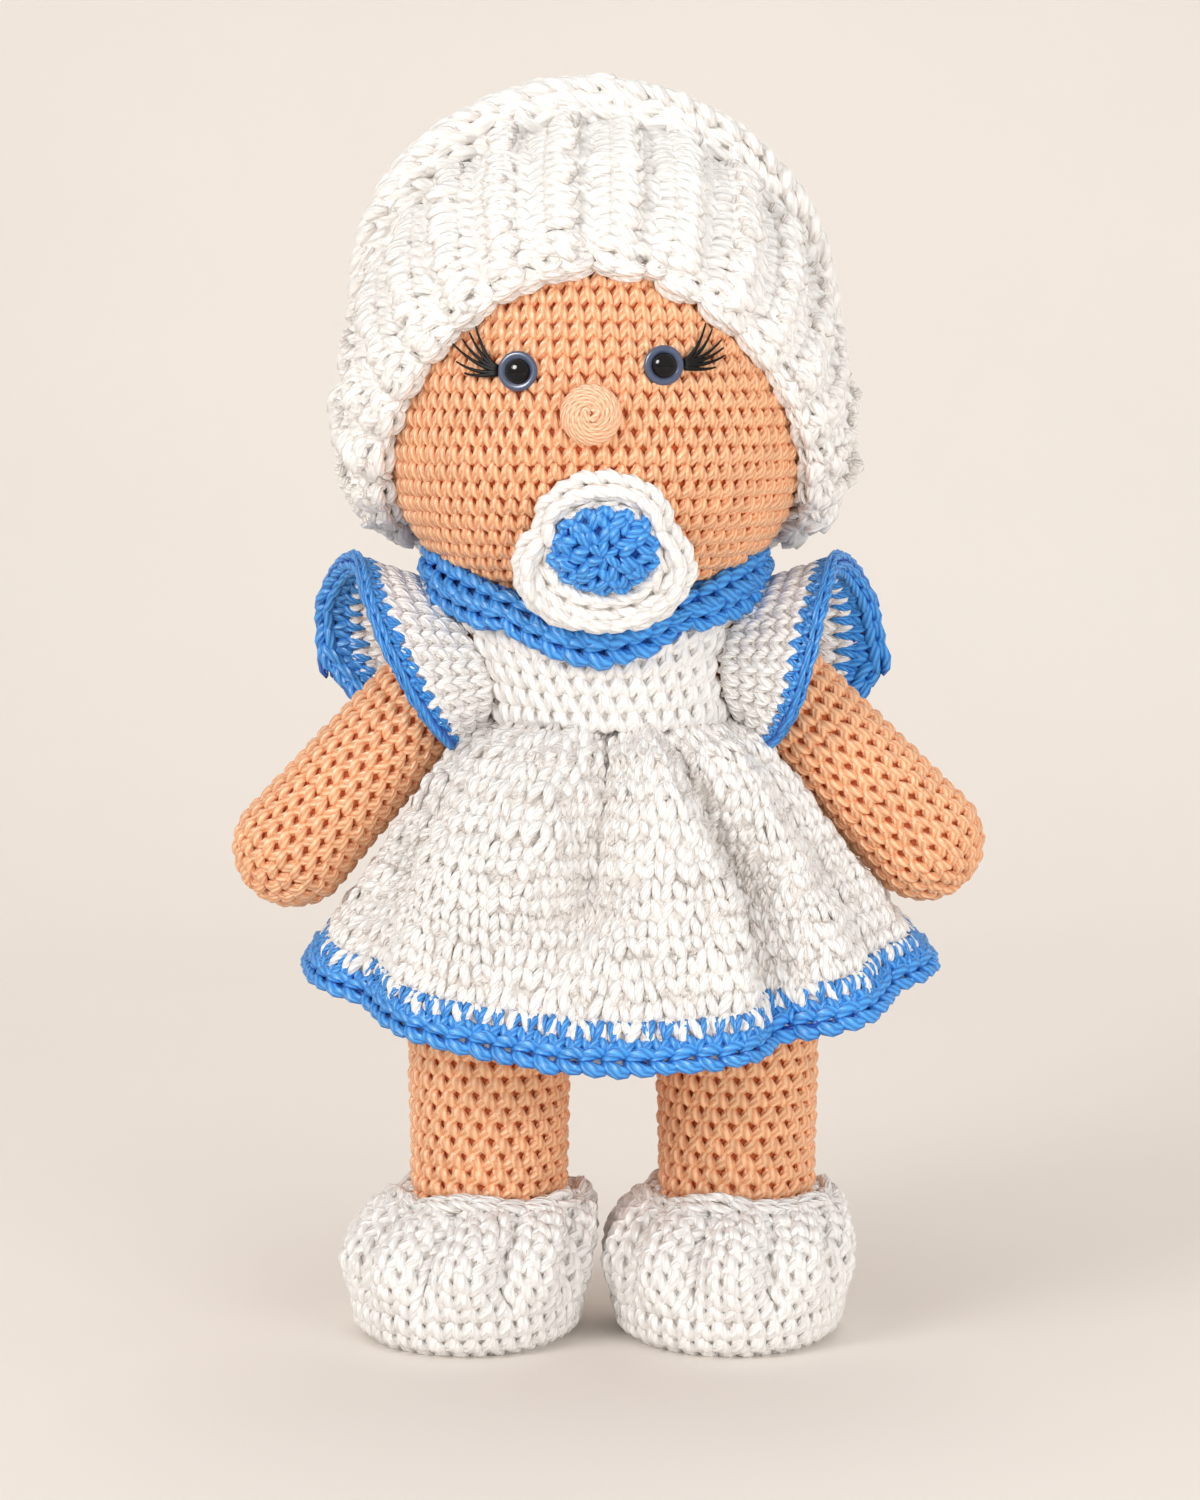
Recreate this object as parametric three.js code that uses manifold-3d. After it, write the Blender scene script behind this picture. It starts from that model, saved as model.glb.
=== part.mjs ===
// Crocheted doll in a bonnet, frilled dress and booties, standing, with a pacifier sewn to its face.
// Millimetres, +Z up. The doll faces -Y, its own left is at +X, and its soles stand on Z = 0.
import * as THREE from "three";
import { mergeVertices } from "three/addons/utils/BufferGeometryUtils.js";
import Module from "manifold-3d";

// Driving sizes of the whole doll
const hipHeight = 102; // underside of the torso, where the legs join it
const torsoHeight = 136; // from there to the top of the neck
const skinWall = 3; // crocheted cotton fabric
const seamGap = 0.35; // clearance between pieces that touch
const stuffingGap = 1.3; // loose fit of the filling in a round skin
const mergeDistance = 0.0005;

// Head: an egg that is widest at the cheeks
const headHalfWidth = 68.5;
const headRise = 86; // widest level to the top
const headDrop = 64; // widest level to the chin side
const headLean = -5; // the head sits a little to the doll's right
const neckRadius = 18.5;
const neckHoleGap = 0.6;
const neckReach = 4; // how far the neck stands inside the head

// Face
const faceShift = -1.4;
const eyeSpacing = 43.8;
const eyeRise = 19.4; // over the widest level
const eyeTiltRise = 0.9; // the left eye sits this much higher, the right one lower
const eyeRadius = 6;
const eyeRimThickness = 1.3;
const eyeDomeHeight = 3.4;
const eyePress = 0.7; // how far the rim is pressed into the fabric
const eyeTurnOut = 0.2; // radians
const shankRadius = 2.1;
const shankLength = 14;
const shankSlack = 0.35; // play of the eye in the holes that it passes
const washerRadius = 6.5;
const washerThickness = 1.6;
const washerGap = 1.6; // clearance of the washer inside the skin's hollow
const lashLength = 13.5;
const lashWidth = 1.3;
const lashThickness = 0.9;
const lashTipWidthShare = 0.25;
const lashTipThicknessShare = 0.5;
const lashRootGap = 0.5; // between the eye's rim and the lashes
const lashGap = 0.2; // between the lashes and the fabric
const noseRise = 5.5;
const noseRadius = 8.6;
const noseDepth = 9;
const noseProfileShares = [ // share of the radius, share of the depth
  [0.8, 0],
  [1, 0.2],
  [0.97, 0.48],
  [0.87, 0.65],
  [0.71, 0.8],
  [0.5, 0.91],
  [0.26, 0.98],
];

// Pacifier
const pacifierShift = 2.5;
const pacifierTopDrop = 14; // top edge under the widest level
const pacifierTilt = 0.33; // radians, the lower edge leans towards the chest
const shieldThickness = 4.2;
const shieldUpperHalfWidth = 18.6;
const shieldUpperHalfHeight = 14;
const shieldLowerHalfWidth = 25.5;
const shieldLowerHalfHeight = 19.4;
const shieldLobeSpacing = 15; // between the centres of the two lobes
const shieldProfileShares = [[0.92, 0], [1, 0.3], [1, 0.7], [0.92, 1]]; // of the outline, of the thickness
const buttonHalfWidth = 16.5;
const buttonHalfHeight = 13.8;
const buttonHeight = 6.5;
const buttonProfileShares = [[0.9, 0], [1, 0.2], [0.92, 0.6], [0.71, 0.81], [0.38, 0.95]];

// Bonnet: a brim of ribs round the face and a puffed crown behind it
const bonnetTilt = 0.679; // radians, how far its axis rises from straight back
const bonnetGap = 0.9; // clearance of the brim on the head
const brimThickness = 9.3;
const ribHeight = 2.6;
const ribCount = 28;
const ribSteps = 3;
const brimNapeThickness = 7.5;
const brimProfileShares = [[0, 0.85], [0.2, 1], [0.5, 1], [0.85, 0.95], [1, 0.7]]; // of its width, of its thickness
const brimLiningShares = [1, 0.75, 0.5, 0.25]; // of its width
const scallopReach = 0.05; // radians, how far each rib's round end passes the edge
const edgeForehead = 0.13; // radians, how far the edge comes forward of a right angle to the axis
const edgeCheek = 0.31;
const edgeNape = -0.34;
const brimSpanForehead = 0.77; // radians from the face edge back to the crown
const brimSpanSide = 0.44;
const brimSpanNape = 0.2;
const crownWall = 5;
const crownPuffBack = 15; // crown over the head at the back
const crownPuffSide = 12.4;
const crownPuffTop = 26.5;
const crownLean = 2.5; // how much further it puffs out towards the doll's right
const crownRowShares = [0.25, 0.48, 0.68, 0.84, 0.95, 1]; // of the way from its middle to its lip
const crownLipShare = 0.85; // height of the lip's end beside the puff
const crownFoldShare = 0.9; // from here to the lip its lining lies on the head
const crownFrontShares = [0.1, 0.8]; // of the way forward, where the puff starts to rise and is full
const bulgeCurve = 0.8; // exponent that keeps ribs round between narrow grooves
const napeCurve = 1.5;
const edgeCurve = 1.3;

// Torso, a pear with an oval section
const hipHalfWidth = 67.5;
const hipHalfDepth = 34;
const waistHalfWidth = 31.5;
const waistHalfDepth = 29;
const chestHalfWidth = 33;
const chestHalfDepth = 31;
const torsoProfileShares = [ // of the height, then of the hips', waist's, chest's and neck's sizes
  [0, 0.96, 0, 0, 0],
  [0.06, 1, 0, 0, 0],
  [0.22, 0.95, 0.03, 0, 0],
  [0.42, 0.5, 0.55, 0, 0],
  [0.6, 0, 1.06, 0, 0],
  [0.72, 0, 1, 0, 0],
  [0.84, 0, 0, 1, 0],
  [0.91, 0, 0, 0.75, 0.25],
  [0.955, 0, 0, 0, 1],
  [1, 0, 0, 0, 1],
];

// Arms
const shoulderSpacing = 92.8;
const shoulderLean = -2;
const shoulderDrop = 16.6; // under the top of the neck
const armLength = 83.5; // shoulder centre to the centre of the round hand
const shoulderRadius = 15.5;
const handRadius = 18.8;
const armOpeningRadius = 8;
const armRowShares = [0, 0.5]; // of the length, between the round shoulder and the round hand
const armSocketGap = 1; // clearance of the round root of the arm, which turns in the torso's skin
const armSlack = 1.5; // room between the filling and the root of the arm
const leftArmAngle = 0.759; // radians from hanging straight down
const rightArmAngle = 0.721;

// Legs
const legSpacing = 81.2;
const legShift = 0.7;
const legRadius = 25.6;
const ankleRadius = 24.8;
const footHalfWidth = 31.5;
const footHalfDepth = 37;
const footForward = 6;
const footRoundHeight = 9;
const soleShare = 0.82; // of the foot's size at the flat sole
const insoleShare = 0.78;
const footTopShares = [0.45, 1]; // of the bootie's height, where the foot starts to narrow and ends
const legRowShares = [0.52, 0.72, 0.86, 1]; // of the bootie's height
const legSlack = 0.7; // room between the filling and the skin of the leg
const leftFootShift = -3;
const rightFootShift = -7;
const insoleThickness = 2;

// Booties
const bootieHeight = 46.5;
const bootieHalfWidth = 40;
const bootieHalfDepth = 46;
const bootieSoleWall = 3;
const bootieGap = 1.05; // loose fit on the foot
const bootieFootShares = [0.55, 1]; // of its height, where it leaves the foot's line and meets the leg's
const bootieProfileShares = [ // of its plan, of its height, of the puffs' height
  [0.72, 0, 0],
  [0.94, 0.14, 0],
  [1, 0.43, 0.3],
  [0.98, 0.7, 1],
  [0.86, 0.92, 1],
  [0.71, 1, 0.3],
];
const bootiePuffCount = 12;
const bootiePuffSteps = 3;
const bootiePuffHeight = 3;
const cuffHeight = 6;
const cuffThickness = 3.8;
const cuffScallops = 13;
const cuffScallopHeight = 1.2;
const cuffProfileShares = [[0, 0], [0.8, 0], [1, 0.5], [0.6, 1], [0, 0.85]]; // of its thickness, of its height

// Dress
const clothWall = 3.4;
const waistDrop = 38; // dress waist under the top of the neck
const bodiceHalfWidth = 39.5;
const bodiceHalfDepth = 38;
const yokeHalfWidth = 50; // at the top of the shoulder straps
const yokeHalfDepth = 40;
const necklineDrop = 10; // front neckline under the top of the neck
const strapRise = 8; // strap tops over the top of the neck
const armholeRadius = 18.5;
const bodiceRowShares = [0, 0.33, 0.67, 1];
const strapCurve = 3; // exponent that keeps the straps narrow
const skirtShift = 3;
const skirtTopHalfWidth = 42;
const skirtTopHalfDepth = 38;
const skirtHemHalfWidth = 106;
const skirtHemHalfDepth = 90;
const skirtSideLength = 77;
const skirtFrontLength = 99;
const skirtCurve = 0.62; // exponent of its spread, under 1 for a bell
const skirtColumns = 72;
const skirtOuterShares = [0, 0.07, 0.18, 0.34, 0.54, 0.76, 1];
const skirtInnerShares = [1, 0.7, 0.4, 0.14, 0];
const foldDepthTop = 5;
const foldDepthMiddle = 11;
const foldDepthHem = 8;
const foldWidth = 0.17; // radians
const skirtFolds = [ // angle of each valley from the doll's left, its share of the depth
  { angle: -0.6, depthShare: 0.5 },
  { angle: -1.06, depthShare: 1 },
  { angle: -1.66, depthShare: 0.85 },
  { angle: -2.2, depthShare: 0.75 },
  { angle: -2.66, depthShare: 0.4 },
  { angle: 0.55, depthShare: 0.6 },
  { angle: 1.05, depthShare: 0.9 },
  { angle: 1.58, depthShare: 1 },
  { angle: 2.12, depthShare: 0.8 },
  { angle: 2.62, depthShare: 0.6 },
];
const armPressDepth = 15.5; // how far an arm presses the skirt in
const armPressWidth = 0.3; // radians
const armPressShares = [0.3, 0.9, 1, 1, 1, 0.85, 0.65, 0.45, 0.3]; // from the waist to the hem
const hemHeight = 8.5;
const hemThickness = 5.2;
const hemProfileShares = [[0, 0, 0], [0.3, -1, 0], [0.8, -1, 0], [1, 0, 0.5], [0.8, 1, 1], [0, 0, 1]];

// Collar
const collarHalfWidth = 53.2;
const collarHalfDepth = 42.8;
const collarHeight = 8;
const collarThickness = 4.5;
const collarDrop = 7; // middle of its front under the top of the neck
const collarSideRise = 19.5;
const collarLobes = 6;
const collarLobeHeight = 3;
const collarLobeSteps = 8;
const collarRiseCurve = 1.6;
const collarProfileShares = [[-0.5, -0.3], [0, -0.5], [0.5, -0.3], [0.5, 0.3], [0, 0.5], [-0.5, 0.3]];

// Sleeve flutters
const flutterWall = 3;
const flutterSeamRadius = 21.5;
const flutterEdgeHalfDepth = 35;
const flutterEdgeRise = 30.5;
const flutterFrontAngle = -1.05; // radians round the shoulder, from straight forward
const flutterBackAngle = 3.85;
const flutterSeamGap = 1.75;
const flutterNear = 51; // reach of the free edge from the middle at its front end
const flutterFar = 93; // and where it stands out most, behind the shoulder
const flutterReachShares = [0, 0.22, 0.4, 0.53, 0.62, 0.78, 0.96, 1, 0.7]; // from its front end to its back end
const flutterTrimHeight = 6;
const flutterTrimThickness = 4.6;
const flutterTrimShare = 0.6; // of its height, where it is thickest

// Heights and places that follow
const neckTop = hipHeight + torsoHeight;
const neckHoleRadius = neckRadius + neckHoleGap;
const headLevel = neckTop - neckReach + headDrop * Math.sqrt(1 - (neckHoleRadius / headHalfWidth) ** 2);
const shoulderHeight = neckTop - shoulderDrop;
const waistHeight = neckTop - waistDrop;
const fullTurn = 2 * Math.PI;
const quarterTurn = Math.PI / 2;

const library = await Module();
library.setup();

const cotton = { roughness: 0.9, metalness: 0 };
const skinYarn = new THREE.MeshStandardMaterial({ color: 0xe9a673, ...cotton });
const noseYarn = new THREE.MeshStandardMaterial({ color: 0xefb183, ...cotton });
const whiteYarn = new THREE.MeshStandardMaterial({ color: 0xf5f1ec, ...cotton });
const blueYarn = new THREE.MeshStandardMaterial({ color: 0x4390e4, ...cotton });
const fibrefill = new THREE.MeshStandardMaterial({ color: 0xfafafa, roughness: 1, metalness: 0 });
const eyePlastic = new THREE.MeshStandardMaterial({ color: 0x20242f, roughness: 0.08, metalness: 0 });
const washerPlastic = new THREE.MeshStandardMaterial({ color: 0xdedede, roughness: 0.4, metalness: 0 });
const lashThread = new THREE.MeshStandardMaterial({ color: 0x0c0b0b, roughness: 0.6, metalness: 0 });
const insolePlastic = new THREE.MeshStandardMaterial({ color: 0xd8d4cc, roughness: 0.5, metalness: 0 });

// Closed meshes

// Merges shared vertices, drops collapsed triangles and turns the faces outwards.
function closedGeometry(points, triangles) {
  const loose = new THREE.BufferGeometry().setFromPoints(points).setIndex(triangles);
  const merged = mergeVertices(loose, mergeDistance);
  const index = merged.index.array;
  const kept = [];
  for (let first = 0; first < index.length; first += 3) {
    const [a, b, c] = [index[first], index[first + 1], index[first + 2]];
    if (a !== b && b !== c && a !== c) {
      kept.push(a, b, c);
    }
  }
  const position = merged.getAttribute("position");
  const corner = (at) => new THREE.Vector3().fromBufferAttribute(position, kept[at]);
  let volume = 0;
  for (let first = 0; first < kept.length; first += 3) {
    volume += corner(first).dot(corner(first + 1).cross(corner(first + 2)));
  }
  if (volume < 0) {
    kept.reverse();
  }
  merged.setIndex(kept);
  return merged;
}

// Joins a row of closed sections. With poles the ends are fans, without them the row closes on itself.
function loft(sections, startPole, endPole) {
  const size = sections[0].length;
  const points = sections.flat();
  const triangles = [];
  const spans = startPole ? sections.length - 1 : sections.length;
  for (let span = 0; span < spans; span += 1) {
    const near = span * size;
    const far = ((span + 1) % sections.length) * size;
    for (let corner = 0; corner < size; corner += 1) {
      const next = (corner + 1) % size;
      triangles.push(near + corner, near + next, far + next);
      triangles.push(near + corner, far + next, far + corner);
    }
  }
  if (startPole) {
    const start = points.push(startPole) - 1;
    const end = points.push(endPole) - 1;
    const last = (sections.length - 1) * size;
    for (let corner = 0; corner < size; corner += 1) {
      const next = (corner + 1) % size;
      triangles.push(start, next, corner);
      triangles.push(end, last + corner, last + next);
    }
  }
  return closedGeometry(points, triangles);
}

// Solid strip through a row of sections, with flat ends
function stripGeometry(sections) {
  const centre = (section) =>
    section.reduce((sum, next) => sum.add(next), point(0, 0, 0)).divideScalar(section.length);
  return loft(sections, centre(sections[0]), centre(sections[sections.length - 1]));
}

function point(x, y, z) {
  return new THREE.Vector3(x, y, z);
}

function range(count) {
  return Array.from({ length: count }, (unused, at) => at);
}

function ring(columns, place) {
  return range(columns).map((column) => place((fullTurn * column) / columns));
}

// Ring that faces forward, in a plane at a depth
function facingRing(columns, halfWidth, halfHeight, y, x = 0, z = 0) {
  return ring(columns, (angle) =>
    point(x + halfWidth * Math.cos(angle), y, z + halfHeight * Math.sin(angle)));
}

function ovalRing(columns, halfWidth, halfDepth, height, x = 0, y = 0) {
  return ring(columns, (angle) =>
    point(x + halfWidth * Math.cos(angle), y + halfDepth * Math.sin(angle), height));
}

// 0 to 1 between two values, level at both ends
function eased(value, from, to) {
  const share = THREE.MathUtils.clamp((value - from) / (to - from), 0, 1);
  return share * share * (3 - 2 * share);
}

function mixed(from, to, share) {
  return from + (to - from) * share;
}

// Value of an evenly spaced table at a share of its way
function tableAt(table, share) {
  const along = THREE.MathUtils.clamp(share, 0, 1) * (table.length - 1);
  const before = Math.min(Math.floor(along), table.length - 2);
  return mixed(table[before], table[before + 1], along - before);
}

// Smallest turn from one direction to another
function turnBetween(from, to) {
  return Math.abs(THREE.MathUtils.euclideanModulo(to - from + Math.PI, fullTurn) - Math.PI);
}

function solidOf(geometry) {
  const bare = geometry.clone();
  bare.deleteAttribute("normal");
  bare.deleteAttribute("uv");
  const merged = mergeVertices(bare, mergeDistance);
  return new library.Manifold(new library.Mesh({
    numProp: 3,
    vertProperties: new Float32Array(merged.getAttribute("position").array),
    triVerts: new Uint32Array(merged.index.array),
  }));
}

function geometryOf(solid) {
  const mesh = solid.getMesh();
  const geometry = new THREE.BufferGeometry();
  geometry.setAttribute("position", new THREE.BufferAttribute(mesh.vertProperties, mesh.numProp));
  geometry.setIndex(new THREE.BufferAttribute(mesh.triVerts, 1));
  return geometry;
}

function cutFrom(geometry, tools) {
  return geometryOf(tools.reduce((left, tool) => left.subtract(solidOf(tool)), solidOf(geometry)));
}

function joined(geometries) {
  return geometryOf(geometries.map(solidOf).reduce((whole, next) => whole.add(next)));
}

function placed(geometry, matrix) {
  return geometry.clone().applyMatrix4(matrix);
}

function piece(name, geometry, material) {
  const shown = geometry.index ? geometry.toNonIndexed() : geometry;
  shown.computeVertexNormals();
  const mesh = new THREE.Mesh(shown, material.clone());
  mesh.name = name;
  return mesh;
}

function group(x, y, z, children) {
  const made = new THREE.Group();
  made.position.set(x, y, z);
  made.add(...children);
  return made;
}

// How far the trunk leans sideways at a height, from none at the waist to the head's lean
function leanAt(height) {
  return headLean * eased(height, waistHeight, neckTop);
}

// Head, in its own frame: the origin is in the middle of its widest level

function eggRing(columns, offset, slope) {
  const rise = (slope > 0 ? headRise : headDrop) + offset;
  return ovalRing(
    columns,
    (headHalfWidth + offset) * Math.cos(slope),
    (headHalfWidth + offset) * Math.cos(slope),
    rise * Math.sin(slope),
  );
}

// Distance from the head's middle to the egg along a direction
function eggReach(direction, offset) {
  const across = Math.hypot(direction.x, direction.y) / (headHalfWidth + offset);
  const along = direction.z / ((direction.z > 0 ? headRise : headDrop) + offset);
  return 1 / Math.hypot(across, along);
}

// Point on the front of the egg over a place on the face, and the way out there
function facePoint(x, z, offset) {
  const rise = (z > 0 ? headRise : headDrop) + offset;
  const radius = (headHalfWidth + offset) * Math.sqrt(1 - (z / rise) ** 2);
  return point(x, -Math.sqrt(radius ** 2 - x ** 2), z);
}

function faceNormal(x, z) {
  const at = facePoint(x, z, 0);
  const rise = z > 0 ? headRise : headDrop;
  return point(at.x / headHalfWidth ** 2, at.y / headHalfWidth ** 2, z / rise ** 2).normalize();
}

// Profile along -Y at the origin: rim at 0, dome in front, shank behind. All grown by one clearance.
function eyeGeometry(grow) {
  const columns = 16;
  const steps = 4;
  const rim = eyeRadius + grow;
  const section = (radius, y) => facingRing(columns, radius, radius, y);
  const dome = range(steps - 1).map((step) => {
    const slope = quarterTurn * ((step + 1) / steps);
    return section(rim * Math.cos(slope), -eyeRimThickness - (eyeDomeHeight + grow) * Math.sin(slope));
  });
  const shank = shankRadius + grow;
  return loft(
    [
      section(shank, shankLength),
      section(shank, grow),
      section(rim, grow),
      section(rim, -eyeRimThickness),
      ...dome,
    ],
    point(0, shankLength + grow, 0),
    point(0, -eyeRimThickness - eyeDomeHeight - grow, 0),
  );
}

function washerGeometry() {
  const columns = 16;
  const section = (radius, y) => facingRing(columns, radius, radius, y);
  const hole = shankRadius + shankSlack;
  return loft([
    section(washerRadius, 0),
    section(washerRadius, washerThickness),
    section(hole, washerThickness),
    section(hole, 0),
  ]);
}

// Room that the filling leaves round the washer and the shank
function washerPocketGeometry() {
  const columns = 12;
  const section = (radius, y) => facingRing(columns, radius, radius, y);
  const wide = washerRadius + seamGap;
  const narrow = shankRadius + seamGap;
  return loft(
    [
      section(wide, -eyeRadius),
      section(wide, washerThickness + seamGap),
      section(narrow, washerThickness + seamGap),
      section(narrow, shankLength),
    ],
    point(0, -eyeRadius, 0),
    point(0, shankLength, 0),
  );
}

// Frame of an eye: on the fabric, looking mostly forward
function eyeMatrix(side) {
  const x = faceShift + (side * eyeSpacing) / 2;
  const z = eyeRise + side * eyeTiltRise;
  const seat = facePoint(x, z, 0);
  const inwards = faceNormal(x, z).multiplyScalar(-eyePress);
  const turn = new THREE.Matrix4().makeRotationZ(side * eyeTurnOut);
  return new THREE.Matrix4().setPosition(seat.add(inwards)).multiply(turn);
}

// The washer is pushed up the shank until its edge meets the inner face of the skin
function washerMatrix(side) {
  const x = faceShift + (side * eyeSpacing) / 2;
  const z = eyeRise + side * eyeTiltRise;
  const matrix = eyeMatrix(side);
  const outwards = point(0, -1, 0).transformDirection(matrix);
  const slant = outwards.angleTo(faceNormal(x, z));
  const depth = (skinWall - eyePress + washerGap) / Math.cos(slant) + washerRadius * Math.tan(slant);
  return matrix.multiply(new THREE.Matrix4().makeTranslation(0, depth, 0));
}

// One lash: a thin tapered strand that bends up as it leaves the eye, laid on the fabric
function lashGeometry(side, startAngle, bend, lengthShare) {
  const steps = 5;
  const origin = point(faceShift + (side * eyeSpacing) / 2, 0, eyeRise + side * eyeTiltRise);
  const root = eyeRadius + lashRootGap + lashWidth / 2;
  const lift = lashGap + lashThickness / 2;
  const sections = range(steps + 1).map((step) => {
    const share = step / steps;
    const angle = startAngle + bend * share;
    const reach = root + lashLength * lengthShare * share;
    const x = origin.x + side * reach * Math.cos(angle);
    const z = origin.z + reach * Math.sin(angle);
    const middle = facePoint(x, z, lift);
    const out = faceNormal(x, z);
    const across = point(-side * Math.sin(angle), 0, Math.cos(angle)).cross(out).cross(out).normalize();
    const half = (lashWidth / 2) * mixed(1, lashTipWidthShare, share);
    const deep = (lashThickness / 2) * mixed(1, lashTipThicknessShare, share);
    return [[half, 0], [0, deep], [-half, 0], [0, -deep]].map(([wide, thick]) =>
      middle.clone().addScaledVector(across, wide).addScaledVector(out, thick));
  });
  return stripGeometry(sections);
}

// Angle at which each lash leaves the eye, how far it bends up, and its share of the longest one
const lashFan = [
  { start: 0.2, bend: 0.6, lengthShare: 0.82 },
  { start: 0.14, bend: 0.34, lengthShare: 0.8 },
  { start: 0.08, bend: 0.3, lengthShare: 1 },
  { start: 0.02, bend: 0.12, lengthShare: 0.82 },
  { start: -0.06, bend: 0, lengthShare: 0.6 },
];

function lashesGeometry(side) {
  return joined(lashFan.map(({ start, bend, lengthShare }) => lashGeometry(side, start, bend, lengthShare)));
}

function noseGeometry() {
  const columns = 16;
  const seat = facePoint(faceShift, noseRise, seamGap);
  const sections = noseProfileShares.map(([radiusShare, depthShare]) =>
    facingRing(
      columns,
      noseRadius * radiusShare,
      noseRadius * radiusShare,
      seat.y - noseDepth * depthShare,
      seat.x,
      seat.z,
    ));
  return loft(sections, seat, point(seat.x, seat.y - noseDepth, seat.z));
}

// Where a ray from the origin leaves an oval whose centre lies straight above or below
function ovalReach(angle, halfWidth, halfHeight, centre) {
  const across = Math.cos(angle) / halfWidth;
  const up = Math.sin(angle) / halfHeight;
  const square = across ** 2 + up ** 2;
  const half = (up * centre) / halfHeight;
  return (half + Math.sqrt(half ** 2 - square * ((centre / halfHeight) ** 2 - 1))) / square;
}

// Height of the pacifier's middle under the top edge of its shield
const shieldTopReach = shieldLobeSpacing / 2 + shieldUpperHalfHeight;

// Pacifier pieces are built flat, facing -Y, with the middle between the shield's lobes at the origin
function shieldGeometry() {
  const columns = 44;
  const outline = (share, y) => ring(columns, (angle) => {
    const upper = ovalReach(angle, shieldUpperHalfWidth, shieldUpperHalfHeight, shieldLobeSpacing / 2);
    const lower = ovalReach(angle, shieldLowerHalfWidth, shieldLowerHalfHeight, -shieldLobeSpacing / 2);
    const reach = Math.max(upper, lower) * share;
    return point(reach * Math.cos(angle), y, reach * Math.sin(angle));
  });
  return loft(
    shieldProfileShares.map(([share, depthShare]) => outline(share, -shieldThickness * depthShare)),
    point(0, 0, 0),
    point(0, -shieldThickness, 0),
  );
}

function buttonGeometry() {
  const columns = 28;
  const seat = -shieldThickness - seamGap;
  const sections = buttonProfileShares.map(([share, heightShare]) =>
    facingRing(columns, buttonHalfWidth * share, buttonHalfHeight * share, seat - buttonHeight * heightShare));
  return loft(sections, point(0, seat, 0), point(0, seat - buttonHeight, 0));
}

function pacifier() {
  const top = facePoint(0, -pacifierTopDrop, seamGap);
  const frame = group(pacifierShift, top.y, -pacifierTopDrop, [
    group(0, 0, -shieldTopReach, [
      piece("pacifier_shield", shieldGeometry(), whiteYarn),
      piece("pacifier_button", buttonGeometry(), blueYarn),
    ]),
  ]);
  frame.rotation.x = pacifierTilt;
  return frame;
}

// Bonnet, measured by two angles: round its axis from the forehead, and away from the axis

function bonnetDirection(round, away) {
  const back = point(0, Math.cos(bonnetTilt), Math.sin(bonnetTilt));
  const forehead = point(0, -Math.sin(bonnetTilt), Math.cos(bonnetTilt));
  return back
    .multiplyScalar(Math.cos(away))
    .addScaledVector(forehead, Math.sin(away) * Math.cos(round))
    .addScaledVector(point(1, 0, 0), Math.sin(away) * Math.sin(round));
}

// 0 at the forehead and the cheeks, 1 at the nape
function napeShare(round) {
  return Math.max(0, -Math.cos(round)) ** napeCurve;
}

function ribBump(round) {
  return Math.abs(Math.sin((round * ribCount) / 2)) ** bulgeCurve;
}

function edgeAngle(round) {
  const sideways = Math.abs(Math.sin(round)) ** edgeCurve;
  const front = Math.cos(round) > 0 ? mixed(edgeForehead, edgeCheek, sideways) : edgeCheek;
  return quarterTurn + mixed(front, edgeNape, napeShare(round));
}

// Angle at which the brim meets the lip of the crown
function ridgeAngle(round) {
  const behind = mixed(brimSpanSide, brimSpanNape, napeShare(round));
  return edgeAngle(round) - mixed(behind, brimSpanForehead, Math.max(0, Math.cos(round)));
}

function bonnetPoint(round, away, offset) {
  const direction = bonnetDirection(round, away);
  return direction.clone().multiplyScalar(eggReach(direction, offset));
}

function brimGeometry() {
  const columns = ribCount * ribSteps;
  const ridgeGap = seamGap / headHalfWidth;
  const section = (share, depthOf) => ring(columns, (round) => {
    const end = edgeAngle(round) + scallopReach * ribBump(round);
    const away = mixed(ridgeAngle(round) + ridgeGap, end, share);
    return bonnetPoint(round, away, bonnetGap + depthOf(round));
  });
  const thickness = (round) =>
    mixed(brimThickness, brimNapeThickness, napeShare(round)) + ribHeight * ribBump(round);
  return loft([
    section(0, () => 0),
    ...brimProfileShares.map(([share, depthShare]) => section(share, (round) => depthShare * thickness(round))),
    ...brimLiningShares.map((share) => section(share, () => 0)),
  ]);
}

function crownPuff(round) {
  const rise = eased(Math.max(0, Math.cos(round)), ...crownFrontShares);
  return mixed(crownPuffSide, crownPuffTop, rise) - crownLean * rise * Math.sin(round);
}

function crownGeometry() {
  const columns = 36;
  const puffAt = (round, share) => mixed(crownPuffBack, crownPuff(round), eased(share, 0, 1));
  const section = (share, depthOf) => ring(columns, (round) =>
    bonnetPoint(round, ridgeAngle(round) * share, depthOf(puffAt(round, share))));
  const outer = crownRowShares.map((share) =>
    section(share, (puff) => (share === 1 ? puff * crownLipShare : puff)));
  const inner = crownRowShares.map((share) =>
    section(share, (puff) => (share > crownFoldShare ? bonnetGap : Math.max(bonnetGap, puff - crownWall))));
  return loft(
    [...outer, ...inner.reverse()],
    bonnetPoint(0, 0, crownPuffBack),
    bonnetPoint(0, 0, crownPuffBack - crownWall),
  );
}

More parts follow.
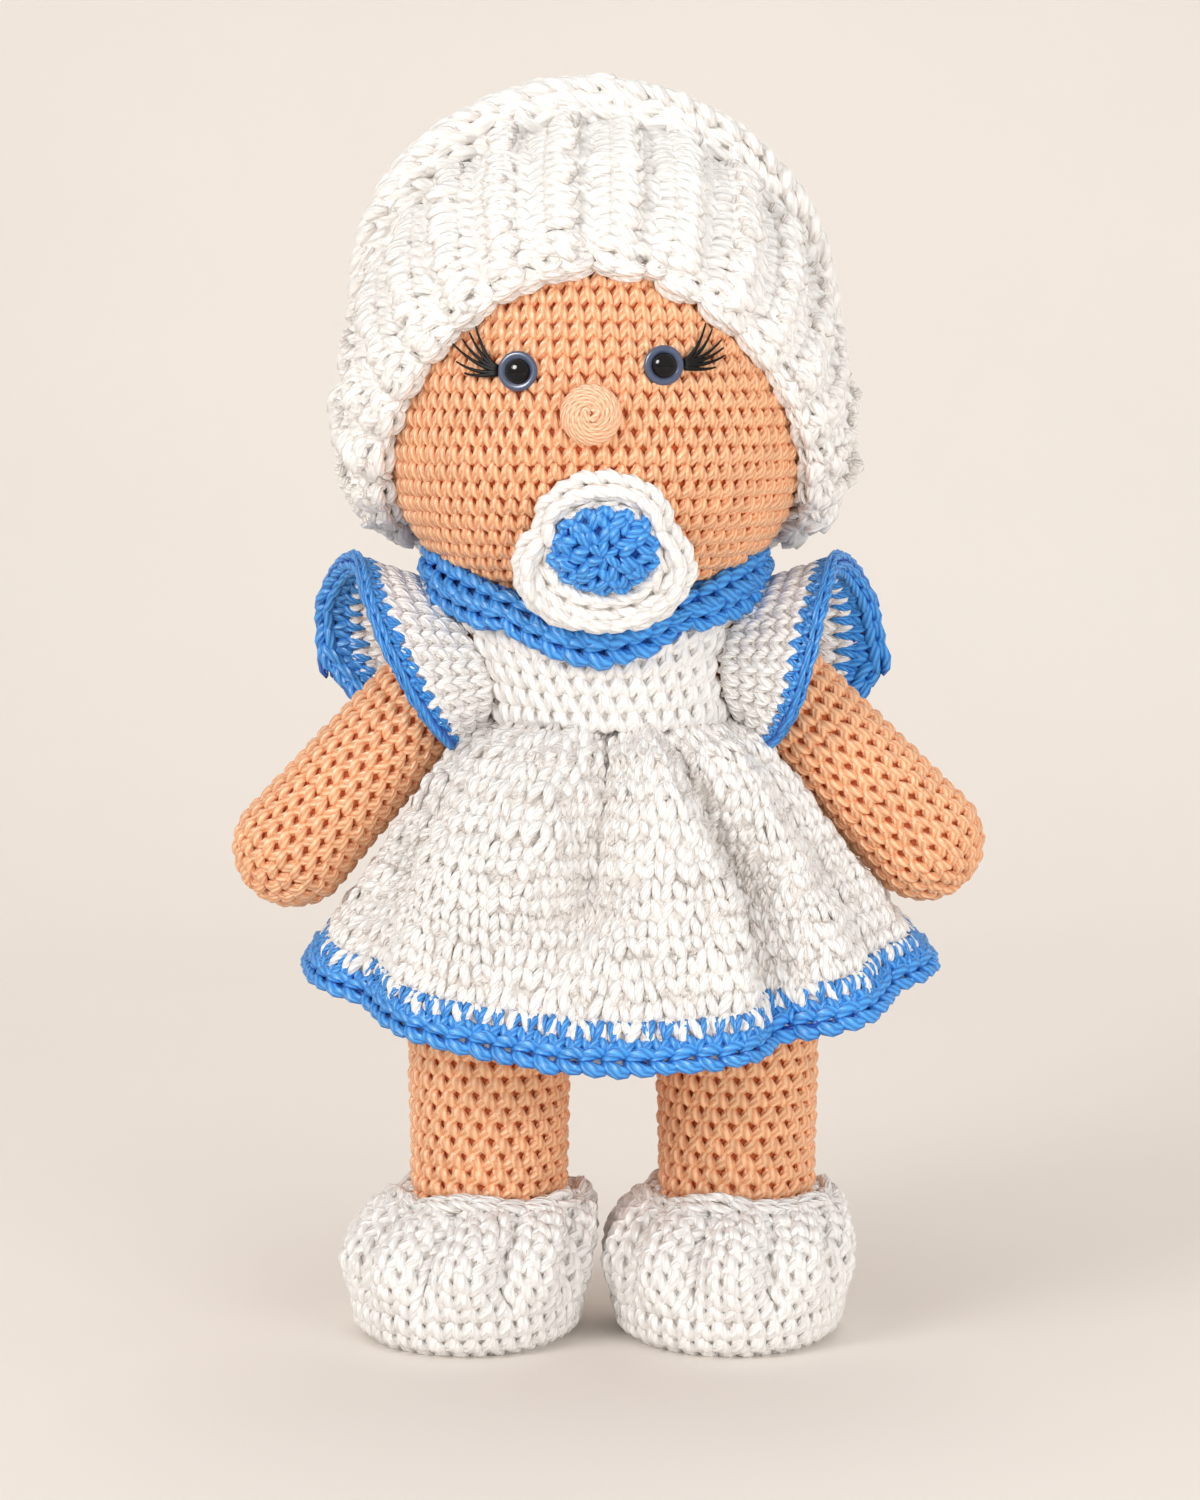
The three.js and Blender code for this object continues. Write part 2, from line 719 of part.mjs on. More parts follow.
function headSkinGeometry() {
  const columns = 36;
  const outerSteps = 13;
  const innerSteps = 10;
  const holeSlope = Math.acos(neckHoleRadius / headHalfWidth);
  const outerSlopes = range(outerSteps).map((step) =>
    mixed(quarterTurn, -holeSlope, (step + 1) / outerSteps));
  const innerSlopes = range(innerSteps).map((step) => mixed(-holeSlope, quarterTurn, step / innerSteps));
  const shell = loft(
    [
      ...outerSlopes.map((slope) => eggRing(columns, 0, slope)),
      ...innerSlopes.map((slope) => eggRing(columns, -skinWall, slope)),
    ],
    point(0, 0, headRise),
    point(0, 0, headRise - skinWall),
  );
  const neckBore = loft(
    [
      ovalRing(columns, neckHoleRadius, neckHoleRadius, -headDrop - skinWall),
      ovalRing(columns, neckHoleRadius, neckHoleRadius, neckTop - headLevel + seamGap),
    ],
    point(0, 0, -headDrop - skinWall),
    point(0, 0, neckTop - headLevel + seamGap),
  );
  const eyeHoles = [1, -1].map((side) => placed(eyeGeometry(shankSlack), eyeMatrix(side)));
  return cutFrom(shell, [neckBore, ...eyeHoles]);
}

function headStuffingGeometry() {
  const columns = 20;
  const steps = 7;
  const offset = -skinWall - stuffingGap;
  const floorHeight = neckTop - headLevel + seamGap;
  const floorSlope = Math.asin(floorHeight / (headDrop + offset));
  const slopes = range(steps).map((step) => mixed(floorSlope, quarterTurn, step / steps));
  const body = loft(
    slopes.map((slope) => eggRing(columns, offset, slope)),
    point(0, 0, floorHeight),
    point(0, 0, headRise + offset),
  );
  const pockets = [1, -1].map((side) => placed(washerPocketGeometry(), washerMatrix(side)));
  return cutFrom(body, pockets);
}

function eyePieces(name, side) {
  const eye = piece(name + "_eye", eyeGeometry(0), eyePlastic);
  eye.applyMatrix4(eyeMatrix(side));
  const washer = piece(name + "_eye_washer", washerGeometry(), washerPlastic);
  washer.applyMatrix4(washerMatrix(side));
  return [eye, washer, piece(name + "_lashes", lashesGeometry(side), lashThread)];
}

function head() {
  return group(headLean, 0, headLevel, [
    piece("head_skin", headSkinGeometry(), skinYarn),
    piece("head_stuffing", headStuffingGeometry(), fibrefill),
    ...eyePieces("left", 1),
    ...eyePieces("right", -1),
    piece("nose", noseGeometry(), noseYarn),
    piece("bonnet_brim", brimGeometry(), whiteYarn),
    piece("bonnet_crown", crownGeometry(), whiteYarn),
    pacifier(),
  ]);
}

// Torso

// Half width, half depth and height of each ring, from the underside to the neck
function torsoRings(inset) {
  return torsoProfileShares.map(([heightShare, hip, waist, chest, neck]) => ({
    halfWidth: hip * hipHalfWidth + waist * waistHalfWidth + chest * chestHalfWidth + neck * neckRadius - inset,
    halfDepth: hip * hipHalfDepth + waist * waistHalfDepth + chest * chestHalfDepth + neck * neckRadius - inset,
    height: hipHeight + torsoHeight * heightShare,
  }));
}

function torsoSection(columns, { halfWidth, halfDepth, height }) {
  return ovalRing(columns, halfWidth, halfDepth, height, leanAt(height));
}

function shoulderPlace(side) {
  return point(shoulderLean + (side * shoulderSpacing) / 2, 0, shoulderHeight);
}

function shoulderBalls(radius) {
  return [1, -1].map((side) => {
    const ball = new THREE.SphereGeometry(radius, 14, 8);
    return placed(ball, new THREE.Matrix4().setPosition(shoulderPlace(side)));
  });
}

function torsoSkinGeometry() {
  const columns = 24;
  const outer = torsoRings(0);
  const inner = torsoRings(skinWall).map((row) => ({
    ...row,
    height: Math.max(row.height, hipHeight + skinWall),
  }));
  const shell = loft(
    [
      ...outer.map((row) => torsoSection(columns, row)),
      ...inner.reverse().map((row) => torsoSection(columns, row)),
    ],
    point(0, 0, hipHeight),
    point(0, 0, hipHeight + skinWall),
  );
  return cutFrom(shell, shoulderBalls(shoulderRadius + armSocketGap));
}

function torsoStuffingGeometry() {
  const columns = 20;
  const rows = torsoRings(skinWall + stuffingGap).map((row) => ({
    ...row,
    height: Math.max(row.height, hipHeight + skinWall + seamGap) - (row.height === neckTop ? seamGap : 0),
  }));
  const body = loft(
    rows.map((row) => torsoSection(columns, row)),
    point(0, 0, hipHeight + skinWall + seamGap),
    point(headLean, 0, neckTop - seamGap),
  );
  return cutFrom(body, shoulderBalls(shoulderRadius + armSlack));
}

// Arm, hanging along -Z from the shoulder's centre, open at the top where it is sewn on

function armProfile(inset) {
  const steps = 3;
  const openingSlope = Math.acos(armOpeningRadius / shoulderRadius);
  const shoulder = range(steps).map((step) => {
    const slope = mixed(openingSlope, 0, step / steps);
    return [(shoulderRadius - inset) * Math.cos(slope), (shoulderRadius - inset) * Math.sin(slope)];
  });
  const sleeve = armRowShares.map((share) =>
    [mixed(shoulderRadius, handRadius, share) - inset, -armLength * share]);
  const hand = range(steps).map((step) => {
    const slope = quarterTurn * (step / steps);
    return [(handRadius - inset) * Math.cos(slope), -armLength - (handRadius - inset) * Math.sin(slope)];
  });
  return [...shoulder, ...sleeve, ...hand];
}

function armPieces(name, side, angle) {
  const columns = 16;
  const section = ([radius, height]) => ovalRing(columns, radius, radius, height);
  const skin = loft(
    [...armProfile(0).reverse().map(section), ...armProfile(skinWall).map(section)],
    point(0, 0, -armLength - handRadius),
    point(0, 0, -armLength - handRadius + skinWall),
  );
  const inset = skinWall + stuffingGap / 2;
  const stuffingProfile = armProfile(inset);
  const stuffing = loft(
    stuffingProfile.map(section),
    point(0, 0, stuffingProfile[0][1]),
    point(0, 0, -armLength - handRadius + inset),
  );
  const arm = new THREE.Group();
  arm.position.copy(shoulderPlace(side));
  arm.rotation.y = -side * angle;
  arm.add(piece(name + "_arm_skin", skin, skinYarn), piece(name + "_arm_stuffing", stuffing, fibrefill));
  return arm;
}

// Leg and bootie, in a frame on the floor under the leg's axis

// Section of the leg at a height, grown or shrunk by an offset. The foot below the ankle is longer.
function legSection(columns, footShift, height, offset, share = 1) {
  const [narrowShare, endShare] = footTopShares;
  const foot = 1 - eased(height, bootieHeight * narrowShare, bootieHeight * endShare);
  const calf = mixed(ankleRadius, legRadius, eased(height, bootieHeight, hipHeight));
  const halfWidth = (mixed(calf, footHalfWidth, foot) + offset) * share;
  const halfDepth = (mixed(calf, footHalfDepth, foot) + offset) * share;
  return ovalRing(columns, halfWidth, halfDepth, height, footShift * foot, -footForward * foot);
}

const legBottom = bootieSoleWall + seamGap;

// Height and share of the full section of each row, from the sole up. The sole's edge is round.
function legRows(bottom, top) {
  const round = [[bottom, soleShare], [bottom + footRoundHeight, 1]];
  return [...round, ...legRowShares.map((share) => [bootieHeight * share, 1]), [top, 1]];
}

function legGeometry(footShift) {
  const columns = 20;
  const top = hipHeight - seamGap;
  const section = (inset) => ([height, share]) => legSection(columns, footShift, height, -inset, share);
  return loft(
    [
      ...legRows(legBottom, top).map(section(0)),
      ...legRows(legBottom + skinWall, top).reverse().map(section(skinWall)),
    ],
    point(footShift, -footForward, legBottom),
    point(footShift, -footForward, legBottom + skinWall),
  );
}

const insoleBottom = legBottom + skinWall + seamGap;

function insoleGeometry(footShift) {
  const columns = 22;
  const section = (height) => legSection(columns, footShift, height, -skinWall - legSlack, insoleShare);
  const top = insoleBottom + insoleThickness;
  return loft(
    [section(insoleBottom), section(top)],
    point(footShift, -footForward, insoleBottom),
    point(footShift, -footForward, top),
  );
}

function legStuffingGeometry(footShift) {
  const columns = 18;
  const bottom = insoleBottom + insoleThickness + seamGap;
  const top = hipHeight - seamGap;
  const rows = legRows(bottom, top).map(([height, share]) =>
    legSection(columns, footShift, height, -skinWall - legSlack, share));
  return loft(rows, point(footShift, -footForward, bottom), point(0, 0, top));
}

// A squashed ball with a flat sole and puffs round its upper half
function bootieGeometry(footShift) {
  const columns = bootiePuffCount * bootiePuffSteps;
  const [leaveShare, meetShare] = bootieFootShares;
  const outer = bootieProfileShares.map(([sizeShare, heightShare, puffShare]) => {
    const height = bootieHeight * heightShare;
    const foot = 1 - eased(height, bootieHeight * leaveShare, bootieHeight * meetShare);
    return ring(columns, (angle) => {
      const puff = bootiePuffHeight * puffShare * (Math.abs(Math.sin((angle * bootiePuffCount) / 2)) - 1 / 2);
      const x = footShift * foot + (bootieHalfWidth * sizeShare + puff) * Math.cos(angle);
      const y = -footForward * foot + (bootieHalfDepth * sizeShare + puff) * Math.sin(angle);
      return point(x, y, height);
    });
  });
  const inner = legRows(bootieSoleWall, bootieHeight).slice(0, -1).map(([height, share]) =>
    legSection(columns, footShift, height, bootieGap, share));
  return loft(
    [...outer, ...inner.reverse()],
    point(footShift, -footForward, 0),
    point(footShift, -footForward, bootieSoleWall),
  );
}

function cuffGeometry() {
  const columns = cuffScallops * 2;
  const bottom = bootieHeight + seamGap;
  const innerRadius = ankleRadius + bootieGap;
  const section = ([thicknessShare, heightShare]) => ring(columns, (angle) => {
    const radius = innerRadius + cuffThickness * thicknessShare;
    const scallop = cuffScallopHeight * Math.abs(Math.sin((angle * cuffScallops) / 2));
    return point(radius * Math.cos(angle), radius * Math.sin(angle), bottom + (cuffHeight + scallop) * heightShare);
  });
  return loft(cuffProfileShares.map(section));
}

function leg(name, side, footShift) {
  return group(legShift + (side * legSpacing) / 2, 0, 0, [
    piece(name + "_leg_skin", legGeometry(footShift), skinYarn),
    piece(name + "_leg_stuffing", legStuffingGeometry(footShift), fibrefill),
    piece(name + "_insole", insoleGeometry(footShift), insolePlastic),
    piece(name + "_bootie", bootieGeometry(footShift), whiteYarn),
    piece(name + "_bootie_cuff", cuffGeometry(), whiteYarn),
  ]);
}

// Dress

// Neckline height round the bodice: low in front and behind, high on the shoulder straps
function necklineHeight(angle) {
  return neckTop - necklineDrop + (necklineDrop + strapRise) * Math.abs(Math.cos(angle)) ** strapCurve;
}

function bodicePoint(angle, share, inset) {
  const height = mixed(waistHeight + seamGap, necklineHeight(angle), share);
  const flare = eased(height, shoulderHeight - armholeRadius, neckTop + strapRise);
  const halfWidth = mixed(bodiceHalfWidth, yokeHalfWidth, flare) - inset;
  const halfDepth = mixed(bodiceHalfDepth, yokeHalfDepth, flare) - inset;
  return point(leanAt(height) + halfWidth * Math.cos(angle), halfDepth * Math.sin(angle), height);
}

function bodiceGeometry() {
  const columns = 32;
  const row = (inset) => (share) => ring(columns, (angle) => bodicePoint(angle, share, inset));
  const shell = loft([...bodiceRowShares.map(row(0)), ...bodiceRowShares.map(row(clothWall)).reverse()]);
  const reach = yokeHalfWidth * 2;
  const armholes = new THREE.CylinderGeometry(armholeRadius, armholeRadius, reach * 2, 20);
  const across = new THREE.Matrix4().makeRotationZ(quarterTurn);
  const through = new THREE.Matrix4().setPosition(0, 0, shoulderHeight).multiply(across);
  return cutFrom(shell, [placed(armholes, through)]);
}

function foldDepth(share) {
  return tableAt([foldDepthTop, foldDepthMiddle, foldDepthHem], share);
}

// How far the skirt lies inside its oval: its folds, and a hollow under each arm
function skirtDent(angle, share) {
  const folds = skirtFolds.map(({ angle: valley, depthShare }) =>
    depthShare * Math.exp(-((turnBetween(valley, angle) / foldWidth) ** 2)));
  const press = [0, Math.PI].map((side) => Math.exp(-((turnBetween(side, angle) / armPressWidth) ** 2)));
  const sum = (values) => values.reduce((total, value) => total + value, 0);
  return foldDepth(share) * sum(folds) + armPressDepth * tableAt(armPressShares, share) * sum(press);
}

function skirtPoint(angle, share, inset) {
  const spread = share ** skirtCurve;
  const length = mixed(skirtSideLength, skirtFrontLength, Math.sin(angle) ** 2);
  const dent = skirtDent(angle, share) + inset;
  const halfWidth = mixed(skirtTopHalfWidth, skirtHemHalfWidth, spread) - dent;
  const halfDepth = mixed(skirtTopHalfDepth, skirtHemHalfDepth, spread) - dent;
  return point(
    skirtShift * share + halfWidth * Math.cos(angle),
    halfDepth * Math.sin(angle),
    waistHeight - length * share,
  );
}

// Share of the skirt's length at which its blue hem takes over
const hemStartShare = 1 - (2 * hemHeight) / (skirtSideLength + skirtFrontLength);

function skirtGeometry() {
  const section = (share, inset) => ring(skirtColumns, (angle) =>
    skirtPoint(angle, share * hemStartShare, inset));
  return loft([
    ...skirtOuterShares.map((share) => section(share, 0)),
    ...skirtInnerShares.map((share) => section(share, clothWall)),
  ]);
}

function hemGeometry() {
  const proud = (hemThickness - clothWall) / 2;
  const gapShare = seamGap / skirtSideLength;
  const section = ([share, proudShare, wallShare]) => ring(skirtColumns, (angle) =>
    skirtPoint(angle, mixed(hemStartShare + gapShare, 1, share), proud * proudShare + clothWall * wallShare));
  return loft(hemProfileShares.map(section));
}

// Collar: a blue band with round lobes, laid round the neckline
function collarGeometry() {
  const columns = collarLobes * collarLobeSteps;
  const section = ([proudShare, heightShare]) => ring(columns, (angle) => {
    const lobe = collarLobeHeight * Math.abs(Math.sin((angle * collarLobes) / 2)) ** bulgeCurve;
    const middle = neckTop - collarDrop + collarSideRise * Math.abs(Math.cos(angle)) ** collarRiseCurve;
    const height = middle + collarHeight * heightShare - lobe * (1 / 2 - heightShare);
    const halfWidth = collarHalfWidth + collarThickness * proudShare;
    const halfDepth = collarHalfDepth + collarThickness * proudShare;
    return point(headLean + halfWidth * Math.cos(angle), halfDepth * Math.sin(angle), height);
  });
  return loft(collarProfileShares.map(section));
}

// Sleeve flutters: a frilled strip from the front of the armhole over the shoulder to its back

function flutterAngle(share) {
  return mixed(flutterFrontAngle, flutterBackAngle, share);
}

// How far the free edge stands out from the doll's middle
function flutterReach(share) {
  return mixed(flutterNear, flutterFar, tableAt(flutterReachShares, share));
}

// Point of the strip in the doll's frame for its right side, where across runs from the seam to the edge
function flutterPoint(share, across, lift) {
  const angle = flutterAngle(share);
  const depth = mixed(flutterSeamRadius, flutterEdgeHalfDepth, across) + lift;
  const rise = mixed(flutterSeamRadius, flutterEdgeRise, across) + lift;
  const y = -depth * Math.cos(angle);
  const z = shoulderHeight + rise * Math.sin(angle);
  const seamY = -flutterSeamRadius * Math.cos(angle);
  const seamZ = shoulderHeight + flutterSeamRadius * Math.sin(angle);
  const flare = eased(seamZ, shoulderHeight - armholeRadius, neckTop + strapRise);
  const halfWidth = mixed(bodiceHalfWidth, yokeHalfWidth, flare);
  const halfDepth = mixed(bodiceHalfDepth, yokeHalfDepth, flare);
  const seam = halfWidth * Math.sqrt(1 - (seamY / halfDepth) ** 2) + flutterSeamGap;
  return { reach: mixed(seam, flutterReach(share), across), lean: leanAt(seamZ), y, z };
}

const flutterSteps = 18;

function flutterSections(side, corners) {
  return range(flutterSteps + 1).map((step) =>
    corners.map(([across, lift]) => {
      const { reach, lean, y, z } = flutterPoint(step / flutterSteps, across, lift);
      return point(lean + side * reach, y, z);
    }));
}

function flutter(name, side) {
  const half = flutterWall / 2;
  const trimHalf = flutterTrimThickness / 2;
  const trimShare = flutterTrimHeight / (flutterFar - yokeHalfWidth);
  const clothEnd = 1 - trimShare;
  const trimStart = clothEnd + seamGap / (flutterNear - bodiceHalfWidth);
  const cloth = stripGeometry(flutterSections(side, [
    [0, -half], [clothEnd / 2, -half], [clothEnd, -half], [clothEnd, half], [clothEnd / 2, half], [0, half],
  ]));
  const middle = mixed(trimStart, 1, flutterTrimShare);
  const trim = stripGeometry(flutterSections(side, [
    [trimStart, -half], [middle, -trimHalf], [1, 0], [middle, trimHalf], [trimStart, half],
  ]));
  return [piece(name + "_flutter", cloth, whiteYarn), piece(name + "_flutter_trim", trim, blueYarn)];
}

function dress() {
  return group(0, 0, 0, [
    piece("dress_bodice", bodiceGeometry(), whiteYarn),
    piece("dress_skirt", skirtGeometry(), whiteYarn),
    piece("skirt_hem", hemGeometry(), blueYarn),
    piece("collar", collarGeometry(), blueYarn),
    ...flutter("left", 1),
    ...flutter("right", -1),
  ]);
}

function doll() {
  return group(0, 0, 0, [
    head(),
    piece("torso_skin", torsoSkinGeometry(), skinYarn),
    piece("torso_stuffing", torsoStuffingGeometry(), fibrefill),
    armPieces("left", 1, leftArmAngle),
    armPieces("right", -1, rightArmAngle),
    leg("left", 1, leftFootShift),
    leg("right", -1, rightFootShift),
    dress(),
  ]);
}

export default doll();
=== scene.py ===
"""Crocheted doll in a bonnet, frilled dress and booties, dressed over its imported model.

Sizes in the forms below are millimetres, +Z up, the doll facing -Y; meshes are written in metres.
"""
import math
from collections import namedtuple

import bmesh
import bpy
import numpy as np
from bpy.props import FloatProperty, FloatVectorProperty, IntProperty, PointerProperty
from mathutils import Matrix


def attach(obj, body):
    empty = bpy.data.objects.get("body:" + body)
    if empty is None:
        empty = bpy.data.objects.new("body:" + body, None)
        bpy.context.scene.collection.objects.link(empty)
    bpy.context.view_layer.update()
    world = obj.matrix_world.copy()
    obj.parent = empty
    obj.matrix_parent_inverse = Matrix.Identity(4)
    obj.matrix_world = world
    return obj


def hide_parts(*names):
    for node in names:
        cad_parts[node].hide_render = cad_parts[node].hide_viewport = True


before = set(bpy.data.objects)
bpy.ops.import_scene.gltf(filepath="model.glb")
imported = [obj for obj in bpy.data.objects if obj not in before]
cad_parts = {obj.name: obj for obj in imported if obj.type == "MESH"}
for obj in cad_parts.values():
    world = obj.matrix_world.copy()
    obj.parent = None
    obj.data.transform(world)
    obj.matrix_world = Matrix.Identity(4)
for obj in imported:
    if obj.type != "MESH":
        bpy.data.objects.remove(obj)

bl_info = {
    "name": "Crocheted doll",
    "version": (1, 0, 0),
    "blender": (4, 5, 0),
    "location": "3D View > Sidebar > Doll",
    "description": "Crocheted doll with a ribbed bonnet, a gathered dress and booties",
    "category": "Add Mesh",
}

MM = 0.001
TURN = 2 * math.pi
QUARTER = math.pi / 2
SIDES = ((1, "left"), (-1, "right"))

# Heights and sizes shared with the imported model

HIP_HEIGHT = 102
NECK_TOP = 238
NECK_HOLE = 19.1
WAIST_HEIGHT = 200
SHOULDER_HEIGHT = 221.4
HEAD_HALF_WIDTH = 68.5
HEAD_RISE = 86
HEAD_DROP = 64
HEAD_LEAN = -5
HEAD_LEVEL = 234 + HEAD_DROP * math.sqrt(1 - (NECK_HOLE / HEAD_HALF_WIDTH) ** 2)
BONNET_TILT = 0.679
BONNET_ROOM = 0.9
RIBS = 28
ROLL = 6.5  # half width of the roll at the crown's lip
ROLL_BEND = 1.95
EYE_X, EYE_Z = 21.9, 19.4
FACE_SHIFT = -1.4
NOSE_RISE = 5.5
ARM_RADIUS, HAND_RADIUS, ARM_LENGTH = 15.5, 18.8, 83.5
LEG_MIDDLE, LEG_SPREAD = 0.7, 40.6
FOOT_HEIGHT, FOOT_FORWARD = 46.5, -6
FOOT_SHIFT = {1: -3, -1: -7}
ARMHOLE, ARMHOLE_ROOM, SLEEVE_SEAM = 18.5, 21.4, 21.5
HEM_START = 1 - 17 / 176

# Sizes of the forms. A pair is the size at the two places that its comment names

CROWN_PUFF = (12.4, 25.0)  # behind, over the forehead
CALF = (24.8, 25.6)  # ankle, hip
FOOT_WIDE, FOOT_DEEP = 28.5, 34
BOOTIE_WIDE, BOOTIE_DEEP, BOOTIE_LOBES = 38.6, 45, 5
FRILL_RADIUS, FRILL_HEIGHT, FRILL_WAVES = 28.2, 43.2, 6.0
BODICE_WIDE, BODICE_DEEP = (39.5, 50), (38, 40)  # chest, shoulders
SLEEVE_FORE, SLEEVE_RISE = (SLEEVE_SEAM, 35), (SLEEVE_SEAM, 30.5)  # seam, free edge
SLEEVE_TURN = (-1.05, 3.85)  # front end, back end
SKIRT_WIDE, SKIRT_DEEP = (42, 106), (38, 90)  # waist, hem
SKIRT_LONG = (77, 99)  # at the sides, in front
SKIRT_GATHERS = 34
COLLAR_WIDE, COLLAR_DEEP, COLLAR_LOBES = 53.2, 42.8, 3
SHIELD_OVALS = ((18.6, 14, 7.5), (25.5, 19.4, -7.5))  # half width, half height, middle's height
BUTTON_WIDE, BUTTON_HIGH = 16.5, 13.8
MOUTH_DROP, MOUTH_LEAN = -14, 0.33

# Lifts from the face of a form: its ground cloth, and the filling of head and torso and of the limbs

GROUND, DEEP_FILLING, LIMB_FILLING = -1.7, -4.3, -3.7


# ---------------------------------------------------------------- forms

def eased(value, start, end):
    share = np.clip((value - start) / (end - start), 0, 1)
    return share * share * (3 - 2 * share)


def mixed(start, end, share):
    return start + (end - start) * share


def table_at(table, share):
    return np.interp(np.clip(share, 0, 1) * (len(table) - 1), np.arange(len(table)), table)


def profile_at(profile, share):
    """Columns of a profile, read at a share of its length."""
    at = np.linspace(0, 1, len(profile))
    return [np.interp(share, at, column) for column in profile.T]


def run_of(line):
    """Length of a line up to each of its points."""
    return np.concatenate([[0], np.cumsum(np.linalg.norm(np.diff(line, axis=0), axis=1))])


def unit(vectors):
    return vectors / np.maximum(np.linalg.norm(vectors, axis=-1, keepdims=True), 1e-9)


def smooth_through(rows, count):
    """Points on a smooth line through the rows, at even steps of its length."""
    rows = np.asarray(rows, float)
    padded = np.vstack([2 * rows[0] - rows[1], rows, 2 * rows[-1] - rows[-2]])
    t = np.linspace(0, 1, 24, endpoint=False)[:, None]
    line = [
        0.5 * ((2 * b) + (c - a) * t + (2 * a - 5 * b + 4 * c - d) * t ** 2 + (3 * b - a - 3 * c + d) * t ** 3)
        for a, b, c, d in zip(padded[:-3], padded[1:-2], padded[2:-1], padded[3:])
    ]
    line = np.vstack([*line, rows[-1:]])
    run = run_of(line)
    at = np.linspace(0, run[-1], count)
    return np.stack([np.interp(at, run, column) for column in line.T], axis=1)


def surface(place):
    """A form that takes its two ways and its lift as numbers or arrays."""
    return lambda u, v, lift=0.0: place(*np.broadcast_arrays(u, v, lift))


def swapped(place):
    """The same surface with its two ways changed over."""
    return lambda u, v, lift=0.0: place(v, u, lift)


def oval(turn, wide, deep, height, centre=0.0, forward=0.0):
    """Points of a level oval at a turn."""
    return np.stack([centre + wide * np.cos(turn), forward + deep * np.sin(turn), height], axis=-1)


def lean_at(height):
    return HEAD_LEAN * eased(height, WAIST_HEIGHT, NECK_TOP)


@surface
def head_place(turn, slope, lift):
    """Point of the head at a turn about the vertical and a slope from its widest level."""
    width = (HEAD_HALF_WIDTH + lift) * np.cos(slope)
    rise = np.where(slope > 0, HEAD_RISE, HEAD_DROP) + lift
    return oval(turn, width, width, HEAD_LEVEL + rise * np.sin(slope), HEAD_LEAN)


def face_place(x, z, lift=0.0):
    """Point on the front of the face, over a place measured from the head's middle."""
    rise = HEAD_RISE if z > 0 else HEAD_DROP
    radius = HEAD_HALF_WIDTH * math.sqrt(max(1 - (z / rise) ** 2, 0))
    y = -math.sqrt(max(radius ** 2 - x ** 2, 0))
    out = unit(np.array([x / HEAD_HALF_WIDTH ** 2, y / HEAD_HALF_WIDTH ** 2, z / rise ** 2]))
    return np.array([HEAD_LEAN + x, y, HEAD_LEVEL + z]) + out * lift


BONNET_BACK = np.array([0, math.cos(BONNET_TILT), math.sin(BONNET_TILT)])
BONNET_FORE = np.array([0, -math.sin(BONNET_TILT), math.cos(BONNET_TILT)])
BONNET_SIDE = np.array([1.0, 0, 0])
HEAD_MIDDLE = np.array([HEAD_LEAN, 0, HEAD_LEVEL])


def nape_share(around):
    return np.clip(-np.cos(around), 0, None) ** 1.5


def rib_bump(around):
    return np.abs(np.sin((around + 0.02 * np.sin(3 * around + 1)) * RIBS / 2)) ** 0.55


def edge_angle(around):
    sideways = np.abs(np.sin(around)) ** 1.3
    front = np.where(np.cos(around) > 0, mixed(0.13, 0.31, sideways), 0.31)
    return QUARTER + mixed(front, -0.34, nape_share(around))


def ridge_angle(around):
    behind = mixed(0.44, 0.2, nape_share(around))
    return edge_angle(around) - mixed(behind, 0.77, np.clip(np.cos(around), 0, None))


@surface
def bonnet_place(around, away, lift):
    """Point over the head at a turn about the bonnet's axis and an angle away from it."""
    way = (
        np.cos(away)[..., None] * BONNET_BACK
        + (np.sin(away) * np.cos(around))[..., None] * BONNET_FORE
        + (np.sin(away) * np.sin(around))[..., None] * BONNET_SIDE
    )
    across = np.hypot(way[..., 0], way[..., 1]) / (HEAD_HALF_WIDTH + lift)
    along = way[..., 2] / (np.where(way[..., 2] > 0, HEAD_RISE, HEAD_DROP) + lift)
    return HEAD_MIDDLE + way / np.hypot(across, along)[..., None]


def brim_depth(around, share):
    profile = np.interp(share, [0, 0.2, 0.5, 0.85, 1], [0.85, 1, 1, 0.95, 0.7])
    return profile * (mixed(5.4, 4.6, nape_share(around)) + 7.0 * rib_bump(around))


def brim_end(around):
    return edge_angle(around) + 0.045 * rib_bump(around)


def brim_away(around, share):
    return mixed(ridge_angle(around) + 0.005, brim_end(around), share)


@surface
def brim_place(around, share, lift):
    """Outer face of the brim, from the crown (0) to the face edge (1)."""
    return bonnet_place(around, brim_away(around, share), BONNET_ROOM + brim_depth(around, share) + lift)


@surface
def brim_lining(around, share, lift):
    return bonnet_place(around, brim_away(around, share), BONNET_ROOM + lift)


@surface
def brim_edge_place(around, across, lift):
    """Rounded face edge of the brim, from its outer face (0) to its lining (1)."""
    bulge = 2.6 * np.sin(across * math.pi) + lift
    return bonnet_place(around, brim_end(around) + bulge / 80, BONNET_ROOM + brim_depth(around, 1.0) * (1 - across))


def crown_puff(around):
    rise = eased(np.clip(np.cos(around), 0, None), 0.1, 0.8)
    return mixed(*CROWN_PUFF, rise) - 2.5 * rise * np.sin(around)


@surface
def crown_place(around, share, lift):
    """Outer face of the crown, from its middle (0) to its lip (1) and rolled down on the brim (2)."""
    reach = HEAD_HALF_WIDTH + 20
    before = ridge_angle(around) - ROLL / reach
    puff = mixed(15, crown_puff(around), eased(np.minimum(share, 1), 0, 1))
    seat = 0.4 + brim_depth(around, 0.0)
    bend = np.clip(share - 1, 0, 1) * ROLL_BEND
    drop = np.maximum(puff - seat, 2) / (1 - math.cos(ROLL_BEND))
    away = before * np.minimum(share, 1) + (ROLL + lift) / reach * np.sin(bend)
    return bonnet_place(around, away, puff - drop + (drop + lift) * np.cos(bend))


